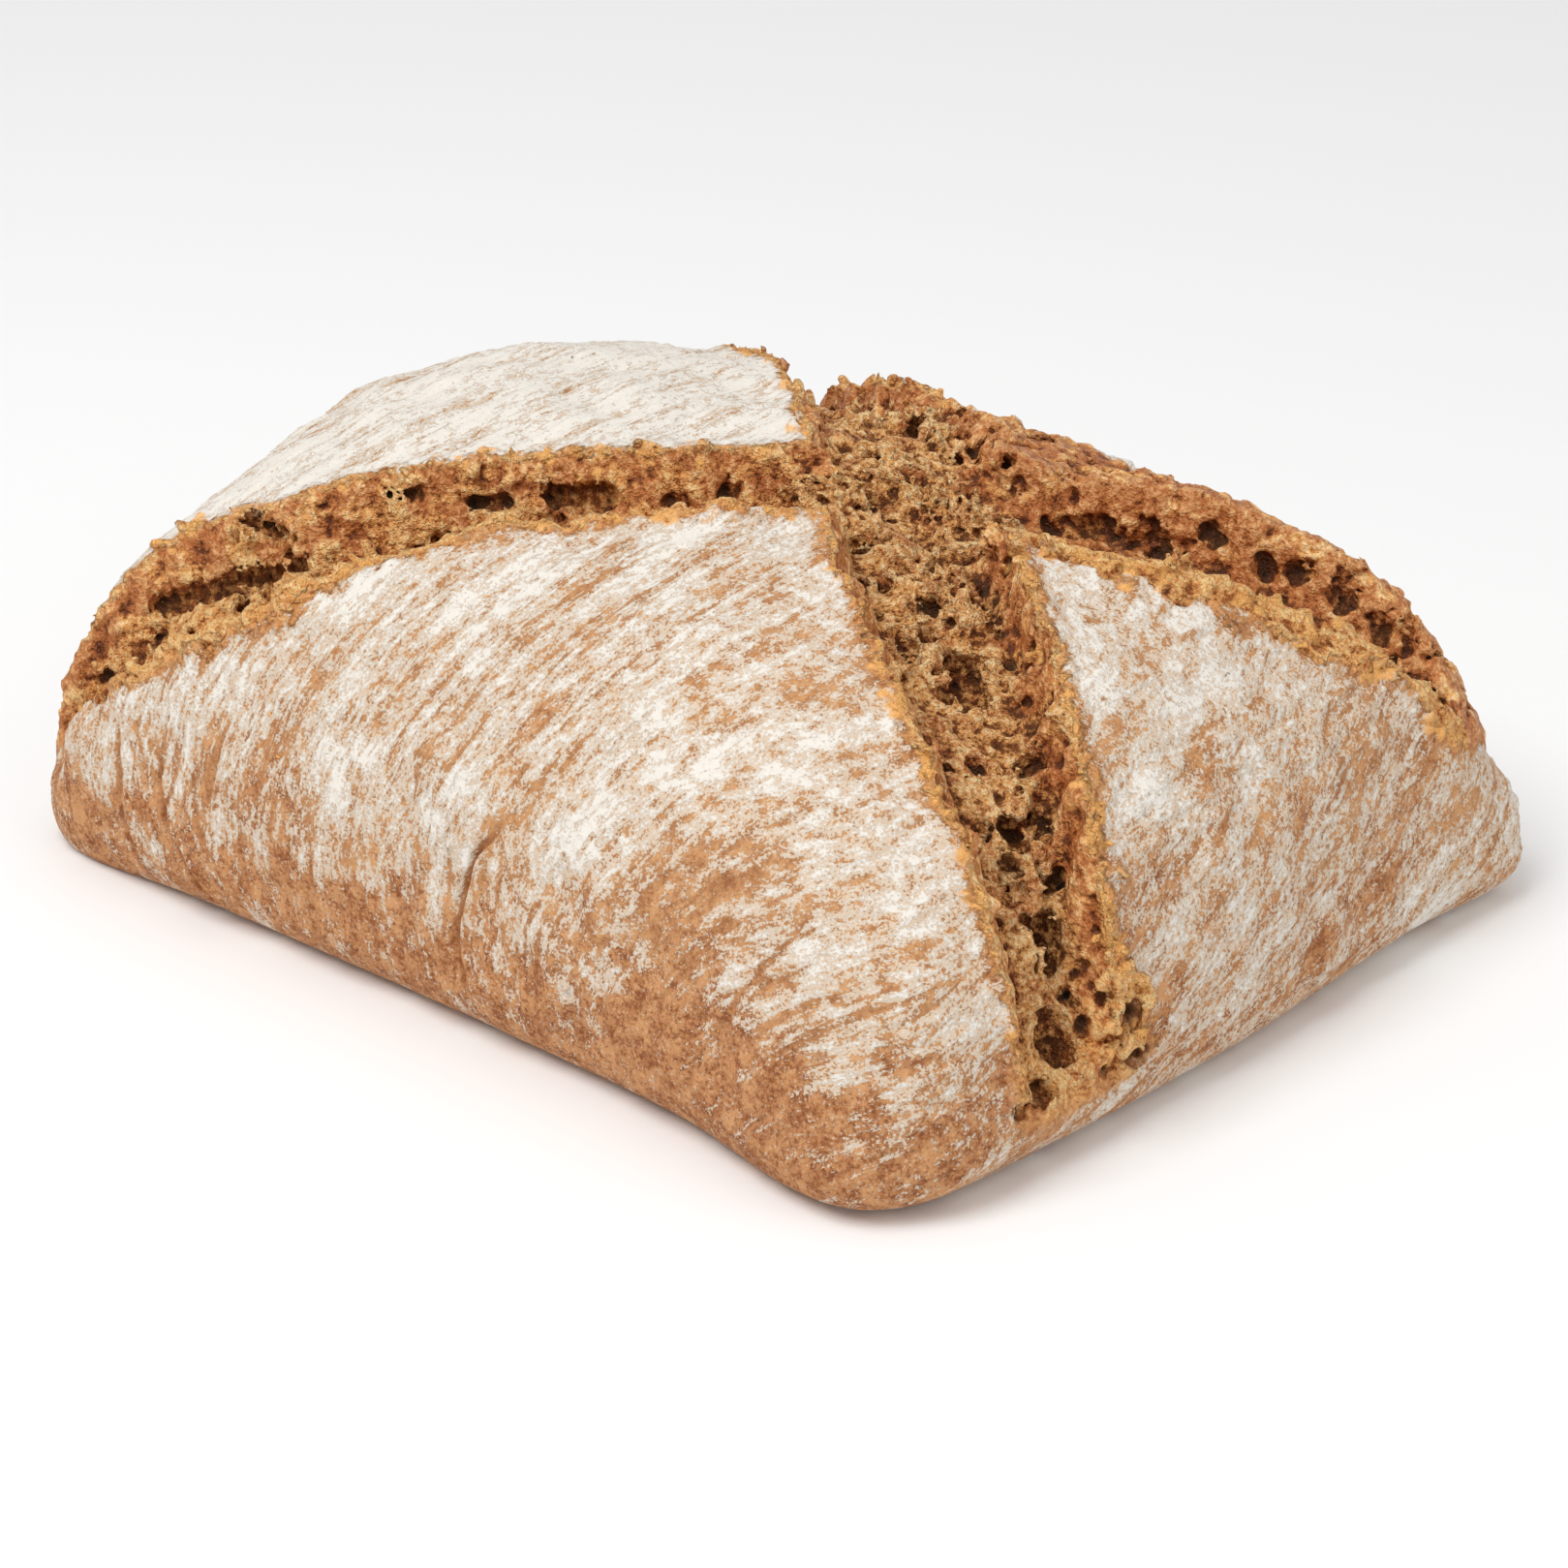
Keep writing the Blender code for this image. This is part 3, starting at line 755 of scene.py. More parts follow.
    def standing(self, places):
        """Fades the torn crumb out towards the base."""
        low = map_at(self.low, places)
        return ramp(places[:, 2], low, low + STANDING)

    def tornness(self, places):
        """How far each place belongs to the torn crumb and not to the crust."""
        ragged = TORN_SHARP * noise_at(self.sharp, places) + TORN_FINE * noise_at(self.fine, places)
        outside = map_at(self.outside, places) - map_at(self.torn_edge, places) + ragged
        return ramp(-outside, *TORN_BLEND) * self.standing(places)

    def shag(self, places):
        """How far the torn crumb stands up at each place."""
        webs = 0.7 - np.abs(noise_at(self.shaggy, places, (0.9, 0.9, 0.9), shift=9))
        height = WEB * webs + LUMP * noise_at(self.shaggy, places, (1.2, 1.2, 1.0))
        height += TATTER * noise_at(self.sharp, places, (1.3, 1.3, 1.1))
        return np.clip(height, -SHAG_REACH, SHAG_REACH)

    def creases(self, places):
        """Depth of the stretch creases that run up the front side."""
        sunk = np.zeros(len(places))
        waver = CREASE_WAVER * noise_at(self.coarse, places, shift=31)
        height = places[:, 2]
        for foot, lean, bend, low, top, depth in CREASES:
            reach = ramp(height, low, low + CREASE_START) * (1 - ramp(height, top - CREASE_FADE, top))
            off = places[:, 0] - (foot + lean * height + bend * height ** 2 + waver)
            lip = CREASE_LIP * hill(off - 2 * CREASE_WIDTH, 1.5 * CREASE_WIDTH)
            sunk += depth * (hill(off, CREASE_WIDTH) - lip) * reach
        for start, end, width, depth in CRACKS:
            sunk += depth * MM * hill(away_from_line(places / MM, start, end), width)
        return sunk * (places[:, 1] < FRONT_SIDE)

    def roughen(self):
        """Roughens the crumb and gives the crust its sway, wrinkles and flour relief."""
        index, places = self.near(SKIN_REACH)
        torn = self.tornness(places)
        outside = map_at(self.outside, places) - map_at(self.torn_edge, places)
        rim = (1 - ramp(outside, 0.001, 0.005)) * self.standing(places)
        torn = np.maximum(torn, RIM_SHAG * rim)
        sway = SWAY * noise_at(self.coarse, places, (2, 2, 2))
        wrinkle = WRINKLE * noise_at(self.fine, fanned(places), (0.6, 4, 4))
        grain = noise_at(self.sharp, places)
        floury = FLOUR_RISE * heaps(places) * (1 + grain)
        standing = ramp(places[:, 2], 0.0, WAIST)
        crust = (sway + wrinkle + floury + GRAIN_RISE * grain) * standing - self.creases(places)
        flat = self.field.ravel()
        right_end = ramp(places[:, 0], 0.095, 0.105) * ramp(places[:, 1], 0.0, 0.02)
        calm = 1 - np.maximum(CALM_LOBE * map_at(self.lobe, places), CALM_END * right_end)
        flat[index] -= torn * calm * self.shag(places) + (1 - torn) * crust


def away_from_line(places, start, end):
    """Each place's distance from the straight run between two points."""
    start, step = np.array(start), np.subtract(end, start)
    share = np.clip((places - start) @ step / (step @ step), 0, 1)
    return np.linalg.norm(places - start - share[:, None] * step, axis=1)


def averaged(values, reach):
    """A grid's values averaged twice over a reach to each side along each axis."""
    steps = max(1, round(reach / CELL))
    for axis in (0, 1, 2, 0, 1, 2):
        lines = np.moveaxis(values, axis, 0)
        ends = [np.repeat(lines[:1], steps + 1, 0), lines, np.repeat(lines[-1:], steps, 0)]
        total = np.cumsum(np.concatenate(ends), axis=0, dtype=np.float32)
        lines = (total[2 * steps + 1:] - total[:-2 * steps - 1]) / (2 * steps + 1)
        values = np.moveaxis(lines, 0, axis)
    return values


def heaps(places):
    """How thick the flour lies in named places, less where it has come off."""
    total = np.zeros(len(places))
    for x, y, z, radius, amount in DUSTED:
        total += amount * hill(np.linalg.norm(places / MM - (x, y, z), axis=1), radius)
    return total


# The net over the field

def surface_net(field):
    """Vertices and outward quads where the field changes sign."""
    inside = field < 0
    strides = np.array([field.shape[1] * field.shape[2], field.shape[2], 1])
    owners, spots, flips = [], [], []
    for axis in range(3):
        first = [slice(1, -1)] * 3
        second = [slice(1, -1)] * 3
        first[axis], second[axis] = slice(0, -1), slice(1, None)
        crossing = np.argwhere(inside[tuple(first)] != inside[tuple(second)])
        start = crossing + np.array([0 if other == axis else 1 for other in range(3)])
        end = start.copy()
        end[:, axis] += 1
        low = field[tuple(start.T)]
        high = field[tuple(end.T)]
        spot = start.astype(np.float64)
        spot[:, axis] += low / (low - high)
        right, up = strides[(axis + 1) % 3], strides[(axis + 2) % 3]
        home = start @ strides
        owners.append(np.stack([home - right - up, home - up, home, home - right], axis=1))
        spots.append(spot)
        flips.append(low > 0)
    owners, spots, flips = np.vstack(owners), np.vstack(spots), np.concatenate(flips)
    cells, quads = np.unique(owners, return_inverse=True)
    quads = quads.reshape(owners.shape)
    count = np.bincount(quads.ravel())
    vertices = np.empty((len(cells), 3))
    for axis in range(3):
        vertices[:, axis] = np.bincount(quads.ravel(), np.repeat(spots[:, axis], 4)) / count
    quads[flips] = quads[flips][:, ::-1]
    return vertices * CELL + FIELD_LOW, quads


def largest_part(vertices, quads):
    """The net without its loose scraps and closed hollows."""
    label = np.arange(len(vertices))
    while True:
        lowest = label[quads].min(axis=1)
        new = label.copy()
        for corner in range(4):
            np.minimum.at(new, quads[:, corner], lowest)
        new = new[new]
        if np.array_equal(new, label):
            break
        label = new
    kept = label == np.bincount(label).argmax()
    number = np.cumsum(kept) - 1
    return vertices[kept], number[quads[kept[quads[:, 0]]]]


def vertex_normals(vertices, quads):
    """Area-weighted normals."""
    corners = vertices[quads]
    faces = np.cross(corners[:, 2] - corners[:, 0], corners[:, 3] - corners[:, 1])
    normals = np.zeros_like(vertices)
    for axis in range(3):
        normals[:, axis] = np.bincount(quads.ravel(), np.repeat(faces[:, axis], 4), len(vertices))
    return normals / np.maximum(np.linalg.norm(normals, axis=1, keepdims=True), 1e-12)


# The pieces and what their material reads

class Surroundings:
    """What the loaf's maps say round each place."""

    def __init__(self, loaf, places):
        long_outside = map_at(loaf.long[0], places)
        cross_outside = map_at(loaf.cross[0], places)
        self.inside = -map_at(loaf.outside, places)
        self.along_long = ramp(cross_outside - long_outside, -SIDE_BLEND, SIDE_BLEND)
        self.far = ramp(map_at(loaf.long[2], places), -SIDE_BLEND, SIDE_BLEND)
        self.right = (map_at(loaf.cross[2], places) < 0) * 1.0
        self.lobe = map_at(loaf.lobe, places)
        self.beyond = -self.inside - map_at(loaf.torn_edge, places)
        self.standing = loaf.standing(places)


def torn_share(loaf, places, around):
    """How far each place is crumb: past the torn edge, or well off the uncut skin."""
    sunk = -field_at(loaf.skin, places)
    moved = ramp(sunk - loaf.creases(places), *SUNK) + ramp(-sunk, *LIFTED)
    return np.maximum(loaf.tornness(places), moved * around.standing)


def bare_foot(loaf, places, normals):
    """Where the front side's foot is bare of flour, up to a ragged height."""
    east = (places[:, 0] - FIELD_LOW[0]) / (FIELD_HIGH[0] - FIELD_LOW[0])
    top = BARE_LEFT + (BARE_RIGHT - BARE_LEFT) * ramp(east, 0.1, 0.9)
    top = top + BARE_WANDER * noise_at(loaf.coarse, places, (1, 4, 1), shift=3)
    front = ramp(-normals[:, 1], 0.0, 0.5)
    return front * (1 - ramp(places[:, 2], top - 0.004, top + 0.008))


def wall_share(loaf, places, around):
    """The leathery brown walls under the rims, on the long cut on its far side alone."""
    left, right = WALL_LONG
    lower = left + (right - left) * ramp(places[:, 0], *WALL_PART)
    foot = WALL_FOOT + around.along_long * lower
    foot = foot + WALL_WANDER * noise_at(loaf.coarse, places, shift=51)
    wall = ramp(around.inside, 0, WALL_TOP)
    wall = wall * (1 - ramp(around.inside, foot - WALL_SOFT, foot + WALL_SOFT))
    wall = wall * (1 - around.along_long * (1 - around.far))
    return np.maximum(wall, LOBE_WALL * around.lobe * ramp(-around.inside, -0.009, -0.006))


def golden_share(x, around, wall):
    """Crumb baked golden: near rim, low on the far wall at the left, front end, and every rim."""
    outside, along_long, far = -around.inside, around.along_long, around.far
    golden = np.maximum.reduce([
        along_long * (1 - far) * ramp(outside, *GOLDEN_NEAR),
        0.8 * along_long * far * (1 - wall) * (1 - ramp(x, *GOLDEN_FAR)),
        (1 - along_long) * ramp(x, *GOLDEN_FRONT),
        0.7 * (1 - wall) * ramp(outside, *GOLDEN_RIM),
    ])
    return golden * (1 - around.lobe)


def nugget_share(around):
    """Where the rims carry golden nuggets of dough."""
    nugget = hill(-around.inside - NUGGET_EDGE, NUGGET_SPREAD) * around.standing
    return nugget * (1 - 0.7 * around.far * around.along_long) * (1 - around.lobe)


def attributes(loaf, places, normals):
    """What the bread's material reads at each vertex."""
    around = Surroundings(loaf, places)
    torn = torn_share(loaf, places, around)
    edge = RIM_EDGE * (1 + noise_at(loaf.fine, places, shift=17))
    rim = (1 - ramp(around.beyond, edge - RIM_SOFT, edge + RIM_SOFT)) * around.standing
    thin = (1 - ramp(around.beyond, 0, THIN_EDGE * (1 - 0.8 * around.far))) * around.standing
    lost = RIM_LOSS * rim + THIN_LOSS * thin + TORN_LOSS * torn
    lost = lost + FOOT_LOSS * bare_foot(loaf, places, normals)
    wall = wall_share(loaf, places, around)
    bread = np.clip(0.5 - loaf.field / (2 * CELL), 0, 1)
    return {
        "torn": torn,
        "rim": rim,
        "flour": flour_density(loaf, places, around.far) - lost,
        "wall": wall,
        # How much bread lies round each place, near and further out, which drives the crumb's painted
        # shade
        "close_shade": field_at(averaged(bread, CLOSE), places),
        "hollow": field_at(averaged(bread, HOLLOW), places),
        "gold": 1 - ramp(field_at(loaf.gold, places), 0.0, 0.0004),
        "golden": golden_share(places[:, 0], around, wall),
        "nugget": nugget_share(around),
        # The creases' depth thins the flour and paints shade in them
        "crease": np.clip(loaf.creases(places) / CREASE_DARK, 0, 1),
        "fan": fanned(places, FAN_TURN * around.right)[:, 0],
        "slant": places[:, 2] - END_SLOPE * places[:, 1],
        "aside": ramp(np.abs(normals[:, 0]), 0.55, 0.80),
    }


def flour_density(loaf, places, far):
    """How much flour lies on the crust, as a share that a fine pattern then thresholds."""
    right = ramp(-map_at(loaf.cross[2], places), -SIDE_BLEND, SIDE_BLEND)
    x, height = places[:, 0], places[:, 2]
    left, right_half = (
        low + more * ramp(height, start, end) for low, more, start, end in (FLOUR_LEFT, FLOUR_RIGHT)
    )
    left = left + FLOUR_CORNER * (1 - ramp(x, -0.075, -0.050))
    near = left + (right_half - left) * right
    density = near + (FLOUR_FAR - near) * far * (1 - 0.85 * ramp(np.abs(x), 0.090, 0.112))
    density = density + FLOUR_WANDER * noise_at(loaf.coarse, places, (1.5, 1.5, 1.5), shift=13)
    return density + heaps(places)


def piece_numbers(loaf, centres, normals):
    """Which of the pieces each face belongs to."""
    outside = map_at(loaf.outside, centres)
    long_outside = map_at(loaf.long[0], centres)
    cross_outside = map_at(loaf.cross[0], centres)
    far = map_at(loaf.long[2], centres) > 0
    left = map_at(loaf.cross[2], centres) > 0
    number = np.select([far & left, far, left], [CRUST_LEFT, CRUST_BACK, CRUST_FRONT], CRUST_RIGHT)
    crumb = (outside < 0) & (centres[:, 2] > CUT_LOW + 0.002)
    cut = np.where(long_outside < cross_outside, CRUMB_LONG, CRUMB_CROSS)
    number = np.where(crumb, cut, number)
    base = (centres[:, 2] < 0.0012) & (normals[:, 2] < -0.5)
    return np.where(base, CRUST_BASE, number)


def add_piece(name, vertices, normals, quads, values, material):
    """One shown piece, with the whole net's normals so that no seam shows."""
    used, quads = np.unique(quads, return_inverse=True)
    quads = quads.reshape(-1, 4)
    mesh = bpy.data.meshes.new(name)
    mesh.vertices.add(len(used))
    mesh.vertices.foreach_set("co", vertices[used].astype(np.float32).ravel())
    mesh.loops.add(quads.size)
    mesh.loops.foreach_set("vertex_index", quads.astype(np.int32).ravel())
    mesh.polygons.add(len(quads))
    mesh.polygons.foreach_set("loop_start", np.arange(0, quads.size, 4, dtype=np.int32))
    mesh.update(calc_edges=True)
    mesh.polygons.foreach_set("use_smooth", np.ones(len(quads), bool))
    for label, value in values.items():
        layer = mesh.attributes.new(label, "FLOAT", "POINT")
        layer.data.foreach_set("value", value[used].astype(np.float32))
    mesh.normals_split_custom_set_from_vertices(normals[used].astype(np.float32))
    mesh.materials.append(material)
    piece = bpy.data.objects.new(name, mesh)
    bpy.context.scene.collection.objects.link(piece)
    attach(piece, "root")
    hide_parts("loaf")
    return piece


# The bread's material

def linear(red, green, blue):
    """A colour given as it looks on screen, from 0 to 255."""
    shares = [level / 255 for level in (red, green, blue)]
    return tuple(((s + 0.055) / 1.055) ** 2.4 if s > 0.04 else s / 12.92 for s in shares) + (1.0,)


class Graph:
    """Short names for the nodes of a material."""

    def __init__(self, name):
        self.material = bpy.data.materials.new(name)
        self.material.use_nodes = True
        self.tree = self.material.node_tree
        self.tree.nodes.clear()

    def put(self, socket, value):
        """Sets an input, or links it where the value is an output."""
        if isinstance(value, bpy.types.NodeSocket):
            self.tree.links.new(value, socket)
        else:
            socket.default_value = value

    def node(self, kind, inputs, **settings):
        """Adds a node, with its inputs and its settings."""
        node = self.tree.nodes.new(kind)
        for name, value in settings.items():
            setattr(node, name, value)
        for key, value in inputs.items():
            self.put(node.inputs[key], value)
        return node

    def value(self, name):
        """What the vertices hold under a name."""
        return self.node("ShaderNodeAttribute", {}, attribute_name=name).outputs["Fac"]

    def maths(self, operation, *values):
        """A number worked out from others."""
        inputs = dict(enumerate(values))
        return self.node("ShaderNodeMath", inputs, operation=operation).outputs[0]

    def vector(self, operation, *values):
        """A vector worked out from others."""
        inputs = dict(enumerate(values))
        return self.node("ShaderNodeVectorMath", inputs, operation=operation).outputs[0]

    def total(self, *values):
        """The sum of numbers."""
        result = values[0]
        for value in values[1:]:
            result = self.maths("ADD", result, value)
        return result

    def times(self, first, second):
        """The product of two numbers."""
        return self.maths("MULTIPLY", first, second)

    def scaled(self, value, scale, shift=0.0):
        """A number scaled, then shifted."""
        return self.maths("MULTIPLY_ADD", value, scale, shift)

    def about(self, value, scale):
        """A noise spread evenly about zero."""
        return self.scaled(value, scale, -scale / 2)

    def lerp(self, share, first, second):
        """A mix of two numbers."""
        return self.maths("MULTIPLY_ADD", self.maths("SUBTRACT", second, first), share, first)

    def span(self, value, low, high):
        """Rises smoothly from 0 at low to 1 at high."""
        inputs = {"Value": value, "From Min": low, "From Max": high}
        node = self.node("ShaderNodeMapRange", inputs, interpolation_type="SMOOTHSTEP")
        return node.outputs["Result"]

    def blend(self, share, first, second):
        """A mix of two colours, each an output or levels from 0 to 255."""
        node = self.node("ShaderNodeMix", {"Factor": share}, data_type="RGBA")
        for key, colour in ((6, first), (7, second)):
            self.put(node.inputs[key], linear(*colour) if isinstance(colour, tuple) else colour)
        return node.outputs[2]

    def noise(self, place, length, octaves, rough, stretch=1.0, skew=0.0):
        """Noise whose features are about a length across, stretched along all but the first axis."""
        scale = (1 / length, 1 / (length * stretch), 1 / (length * stretch))
        spread = self.vector("MULTIPLY", place, scale)
        inputs = {"Vector": spread, "Scale": 1.0, "Detail": octaves, "Roughness": rough}
        inputs["Distortion"] = skew
        return self.node("ShaderNodeTexNoise", inputs).outputs["Fac"]

    def three_tones(self, tone, dark, middle, light):
        """From dark through a middle colour to light."""
        colour = self.blend(self.span(tone, *DARK_TO_MIDDLE), dark, middle)
        return self.blend(self.span(tone, *MIDDLE_TO_LIGHT), colour, light)


def crust_colour(graph, place):
    """Tan baked crust, darker in specks, with a fine dust of flour."""
    mottle = graph.noise(place, *CRUST_MOTTLE)
    speck = graph.total(graph.noise(place, *CRUST_SPECKS), graph.scaled(mottle, MOTTLE_HOLD))
    colour = graph.blend(graph.span(mottle, *MOTTLED), TAN, TAN_LIGHT)
    colour = graph.blend(graph.span(speck, *SPECKED), colour, TAN_DARK)
    dust = graph.span(graph.noise(place, *CRUST_DUST), *DUSTY)
    return graph.blend(graph.scaled(dust, DUST_SHARE), colour, FLOUR_THIN)


def skin_patterns(graph, name, along, drawn):
    """The skin's patterns across a named coordinate: streaks, gaps, bands, patches and clumps."""
    inputs = {0: graph.value(name), 1: along[0], 2: along[1]}
    place = graph.node("ShaderNodeCombineXYZ", inputs).outputs[0]
    return [graph.noise(place, *pattern) for pattern in (*SKIN_PATTERNS, (*CLUMPS, drawn))]


def flour_cover(graph, place):
    """Where flour covers the crust, how thick it lies, and the furrows of the stretched skin."""
    x, y, z = graph.node("ShaderNodeSeparateXYZ", {0: place}).outputs
    aside = graph.value("aside")
    sides = skin_patterns(graph, "fan", (y, z), SIDE_DRAWN)
    ends = skin_patterns(graph, "slant", (y, x), END_DRAWN)
    streak, gaps, bands, patch, clump = (graph.lerp(aside, *pair) for pair in zip(sides, ends))
    furrow = graph.times(graph.span(streak, *STREAKED), graph.span(gaps, *GAPPED))
    speck = graph.about(graph.noise(place, *FLOUR_SPECKS), FLOUR_SPECKLE)
    flour = graph.total(
        graph.value("flour"),
        graph.about(patch, FLOUR_PATCHES),
        graph.about(bands, FLOUR_BANDS),
        graph.scaled(graph.value("crease"), FLOUR_CREASE),
        graph.total(graph.about(clump, FLOUR_CLUMPS), speck),
        graph.scaled(furrow, FLOUR_FURROW),
    )
    return graph.span(flour, *COVERED), graph.span(flour, *THICK), furrow


def floured_crust(graph, place, flour, grit):
    """The crust with its furrows, painted shade in its creases, golden at the rims, under the flour."""
    cover, thick, furrow = flour
    veil = graph.scaled(graph.span(graph.value("flour"), *VEILED), VEIL)
    colour = graph.blend(veil, crust_colour(graph, place), TAN_PALE)
    colour = graph.blend(graph.scaled(furrow, FURROW_SHARE), colour, TAN_DARK)
    # Painted shade: the creases and cracks darken with their depth
    colour = graph.blend(graph.scaled(graph.value("crease"), CREASE_SHADE_SHARE), colour, TAN_DARK)
    golden = graph.three_tones(graph.about(grit, 3.0), GOLD_DARK_AND_SHADED, GOLD, GRAIN_AND_LIT_GOLD)
    colour = graph.blend(graph.scaled(graph.value("rim"), RIM_SHARE), colour, golden)
    colour = graph.blend(graph.scaled(cover, COVER_SHARE), colour, FLOUR_THIN)
    return graph.blend(graph.times(thick, cover), colour, FLOUR_THICK)


def crumb_cells(graph, place):
    """How high the crumb's fine cells stand: low in each bubble and high on the webs between."""
    inputs = {"Vector": place, "Scale": BEND_WAVES, "Detail": 2.0}
    bend = graph.node("ShaderNodeTexNoise", inputs).outputs["Color"]
    bend = graph.vector("SUBTRACT", bend, (0.5, 0.5, 0.5))
    bend = graph.vector("MULTIPLY", bend, (CELL_BEND, CELL_BEND, CELL_BEND))
    bent = graph.vector("ADD", place, bend)
    layers = []
    for size, share in CELLS:
        cell = graph.node("ShaderNodeTexVoronoi", {"Vector": bent, "Scale": 1 / size})
        layers.append(graph.times(cell.outputs["Distance"], share))
    return graph.total(*layers)


def crumb_tone_and_shade(graph, place, shred):
    """How light the crumb is: painted light in the open and high on shreds, painted shade where bread
    closes round it and low in cells, with random flecks.
    """
    darkest, lightest = TONE_LIMITS
    # Painted shade where bread lies round a place, painted light where it is open
    close_shade = graph.scaled(graph.value("close_shade"), CLOSE_SHADE, OPEN_LIGHT)
    tone = graph.total(close_shade, graph.scaled(graph.value("hollow"), HOLLOW_SHADE))
    tone = graph.maths("MINIMUM", graph.maths("MAXIMUM", tone, darkest), lightest)
    fleck = graph.about(graph.noise(place, *CRUMB_FLECKS), FLECK_TONE)
    fleck = graph.times(fleck, graph.scaled(graph.value("wall"), WALL_CALM, 1.0))
    # Painted light high on the shreds and cells, painted shade low in them
    return graph.total(tone, fleck, graph.scaled(shred, SHRED_PAINTED_SHADE, SHRED_MIDDLE))


def crumb_colour(graph, place, shred):
    """Torn crumb's colour, golden along the near rim, with painted shade in its hollows, and how far it
    is toasted under the others.
    """
    tone = crumb_tone_and_shade(graph, place, shred)
    mottle = graph.about(graph.noise(place, *CRUMB_MOTTLE), 4.0)
    # Painted shade and painted light: the tone picks dark, middle and light copies of crumb, gold and
    # toast
    colour = graph.three_tones(tone, CRUMB_DARK_AND_SHADED, CRUMB, CRUMB_LIGHT_AND_LIT)
    golden = graph.three_tones(graph.scaled(tone, 1.0, GOLDEN_LIFT), GOLD_DARK_AND_SHADED, GOLD, GRAIN_AND_LIT_GOLD)
    toast = graph.three_tones(tone, TOAST_DARK_AND_SHADED, TOAST, TOAST_LIGHT_AND_LIT)
    warm = graph.span(graph.total(graph.value("golden"), graph.scaled(mottle, -0.8)), *WARM)
    colour = graph.blend(warm, colour, golden)
    burnt = graph.total(
        graph.scaled(graph.value("wall"), WALL_BURNT),
        graph.scaled(graph.value("golden"), GOLDEN_BURNT),
        graph.scaled(graph.noise(place, *CRUMB_BURNT), *PATCH_BURNT),
        mottle,
    )
    burnt = graph.span(burnt, *BURNT)
    colour = graph.blend(burnt, colour, toast)
    # Painted shade: where bread closes all round, the colour darkens towards the pit shade
    return graph.blend(graph.span(graph.value("hollow"), *PIT_SHADE_SPAN), colour, PIT_SHADE), burnt


def fine_relief(graph, place, flour, grit, shred, nugget):
    """Relief finer than the net: grit and flour on the crust, shreds in the crumb, nuggets on rims."""
    cover, thick, furrow = flour
    dust = graph.noise(place, *FLOUR_DUST)
    parts = zip((grit, thick, cover, furrow, dust), RISES)
    crust = graph.total(*(graph.scaled(part, rise) for part, rise in parts))
    shaggy = graph.maths("MAXIMUM", graph.value("torn"), graph.scaled(graph.value("rim"), 0.6))
    shag = graph.times(shred, graph.scaled(graph.value("wall"), SHRED_WALL, SHRED_RISE))
    return graph.total(graph.lerp(shaggy, crust, shag), graph.scaled(nugget, NUGGET_RISE))


def bread_material():
    """Crust, flour and crumb in one material, told apart by what the vertices hold."""
    graph = Graph("bread")
    place = graph.node("ShaderNodeTexCoord", {}).outputs["Object"]
    torn = graph.value("torn")
    flour = flour_cover(graph, place)
    grit = graph.noise(place, *GRIT)
    shred = graph.scaled(graph.noise(place, *SHREDS), SHREDS_SHARE)
    shred = graph.total(shred, graph.scaled(crumb_cells(graph, place), CELLS_SHARE))
    crumb, burnt = crumb_colour(graph, place, shred)
    colour = graph.blend(torn, floured_crust(graph, place, flour, grit), crumb)
    nugget = graph.total(graph.value("nugget"), graph.about(graph.noise(place, *NUGGETS), 3.6))
    nugget = graph.span(nugget, *NUGGETED)
    gold = graph.scaled(graph.maths("MAXIMUM", graph.value("gold"), nugget), NUGGET_SHARE)
    relief = fine_relief(graph, place, flour, grit, shred, nugget)
    bump = graph.node("ShaderNodeBump", {"Height": relief, "Strength": 1.0, "Distance": 1.0})
    shader = graph.node("ShaderNodeBsdfPrincipled", {
        "Base Color": graph.blend(gold, colour, NUGGET),
        "Roughness": graph.scaled(graph.times(burnt, torn), BURNT_GLOSS, ROUGHNESS),
        "Specular IOR Level": SHINE,
        "Normal": bump.outputs[0],
    })
    graph.node("ShaderNodeOutputMaterial", {"Surface": shader.outputs[0]})
    return graph.material


# The studio

def away_from(azimuth, elevation):
    """The direction from the loaf towards a viewer, its angles in degrees."""
    azimuth, elevation = math.radians(azimuth), math.radians(elevation)
    flat = math.cos(elevation)
    return Vector((math.sin(azimuth) * flat, -math.cos(azimuth) * flat, math.sin(elevation)))


def add_camera(middle):
    """Looks down on the loaf's front toe, as the photograph does."""
    data = bpy.data.cameras.new("camera")
    data.lens = LENS
    data.sensor_width = SENSOR
    camera = bpy.data.objects.new("camera", data)
    bpy.context.scene.collection.objects.link(camera)
    back = away_from(VIEW_AZIMUTH, VIEW_ELEVATION)
    right = away_from(VIEW_AZIMUTH + 90, 0)
    target = Vector((-middle[0], -middle[1], VIEW_HEIGHT)) + right * VIEW_ASIDE
    camera.location = target + back * VIEW_DISTANCE
    camera.rotation_euler = back.to_track_quat("Z", "Y").to_euler()
    bpy.context.scene.camera = camera


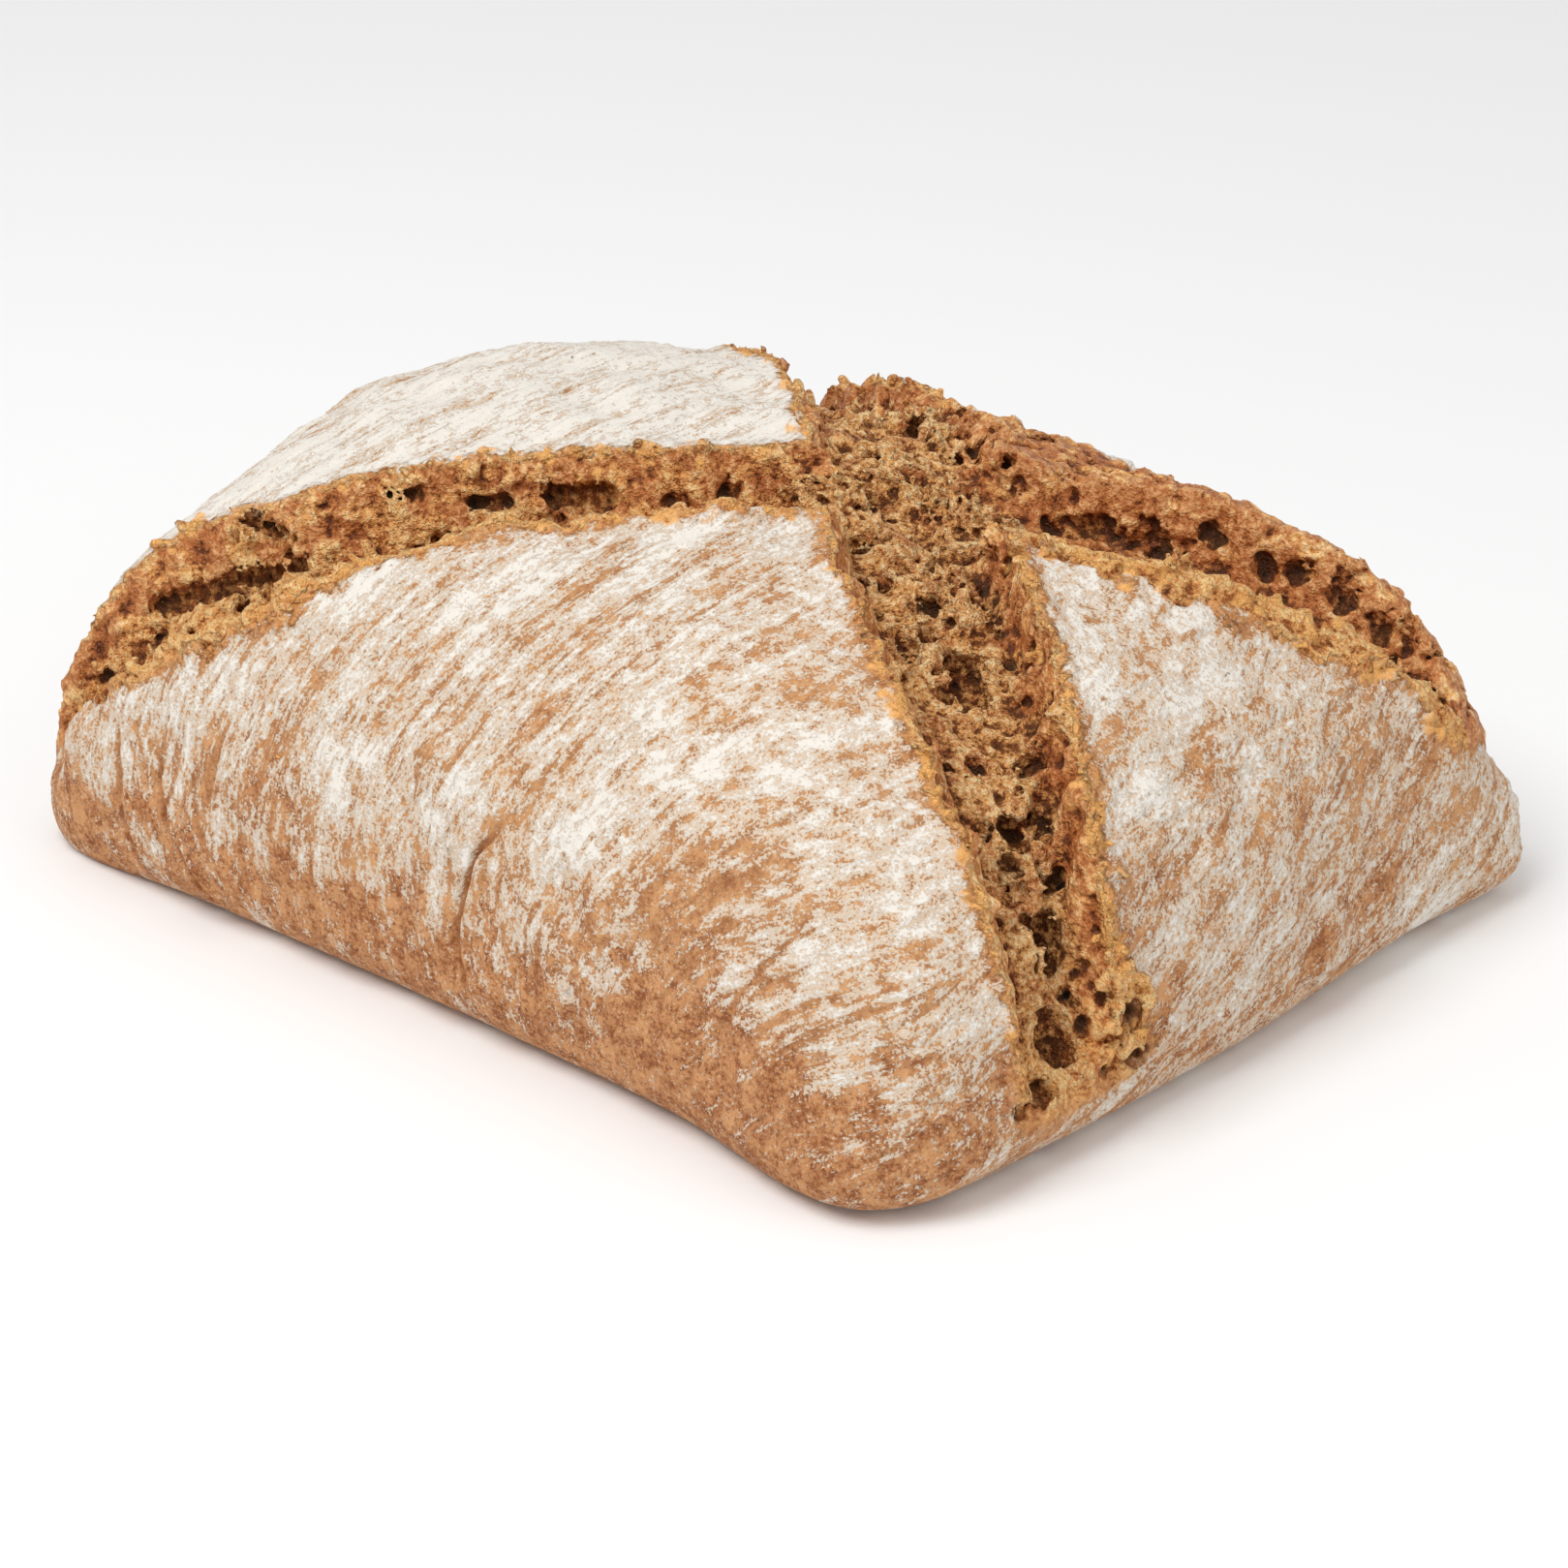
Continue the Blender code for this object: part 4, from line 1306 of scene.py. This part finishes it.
def add_light(name, azimuth, elevation, distance, size, power):
    """A soft square lamp that shines on the loaf."""
    data = bpy.data.lights.new(name, "AREA")
    data.size = size
    data.energy = power
    lamp = bpy.data.objects.new(name, data)
    bpy.context.scene.collection.objects.link(lamp)
    back = away_from(azimuth, elevation)
    lamp.location = back * distance
    lamp.rotation_euler = back.to_track_quat("Z", "Y").to_euler()


def add_surround():
    """A bright surround, shown without any tone curve."""
    world = bpy.data.worlds.new("surround")
    world.use_nodes = True
    background = world.node_tree.nodes["Background"]
    background.inputs["Color"].default_value = SURROUND
    background.inputs["Strength"].default_value = SURROUND_POWER
    bpy.context.scene.world = world
    bpy.context.scene.view_settings.view_transform = "Standard"


def add_floor():
    """A pale, matt floor."""
    mesh = bpy.data.meshes.new("floor")
    sides = ((-1, -1), (1, -1), (1, 1), (-1, 1))
    corners = [(east * FLOOR_REACH, north * FLOOR_REACH, 0) for east, north in sides]
    mesh.from_pydata(corners, [], [(0, 1, 2, 3)])
    graph = Graph("floor")
    inputs = {"Base Color": FLOOR_COLOUR, "Roughness": FLOOR_ROUGHNESS}
    shader = graph.node("ShaderNodeBsdfPrincipled", inputs)
    graph.node("ShaderNodeOutputMaterial", {"Surface": shader.outputs[0]})
    mesh.materials.append(graph.material)
    floor = bpy.data.objects.new("floor", mesh)
    bpy.context.scene.collection.objects.link(floor)


def clear_scene():
    """Removes what a new scene starts with."""
    for name in ("Cube", "Camera", "Light"):
        item = bpy.data.objects.get(name)
        if item:
            bpy.data.objects.remove(item, do_unlink=True)


def build():
    """Makes the loaf's pieces, the view and the studio."""
    clear_scene()
    loaf = Loaf()
    loaf.tufts()
    loaf.mounds()
    loaf.pores()
    loaf.grains()
    loaf.roughen()
    loaf.pockets()
    vertices, quads = largest_part(*surface_net(loaf.field))
    normals = vertex_normals(vertices, quads)
    values = attributes(loaf, vertices, normals)
    numbers = piece_numbers(loaf, vertices[quads].mean(axis=1), normals[quads].mean(axis=1))
    middle = (vertices.min(axis=0) + vertices.max(axis=0)) / 2
    places = vertices - (middle[0], middle[1], 0)
    material = bread_material()
    for number, name in enumerate(PIECES):
        add_piece(name, places, normals, quads[numbers == number], values, material)
    add_camera(middle)
    add_surround()
    for lamp in LAMPS:
        add_light(*lamp)
    add_floor()


build()
bpy.context.view_layer.update()
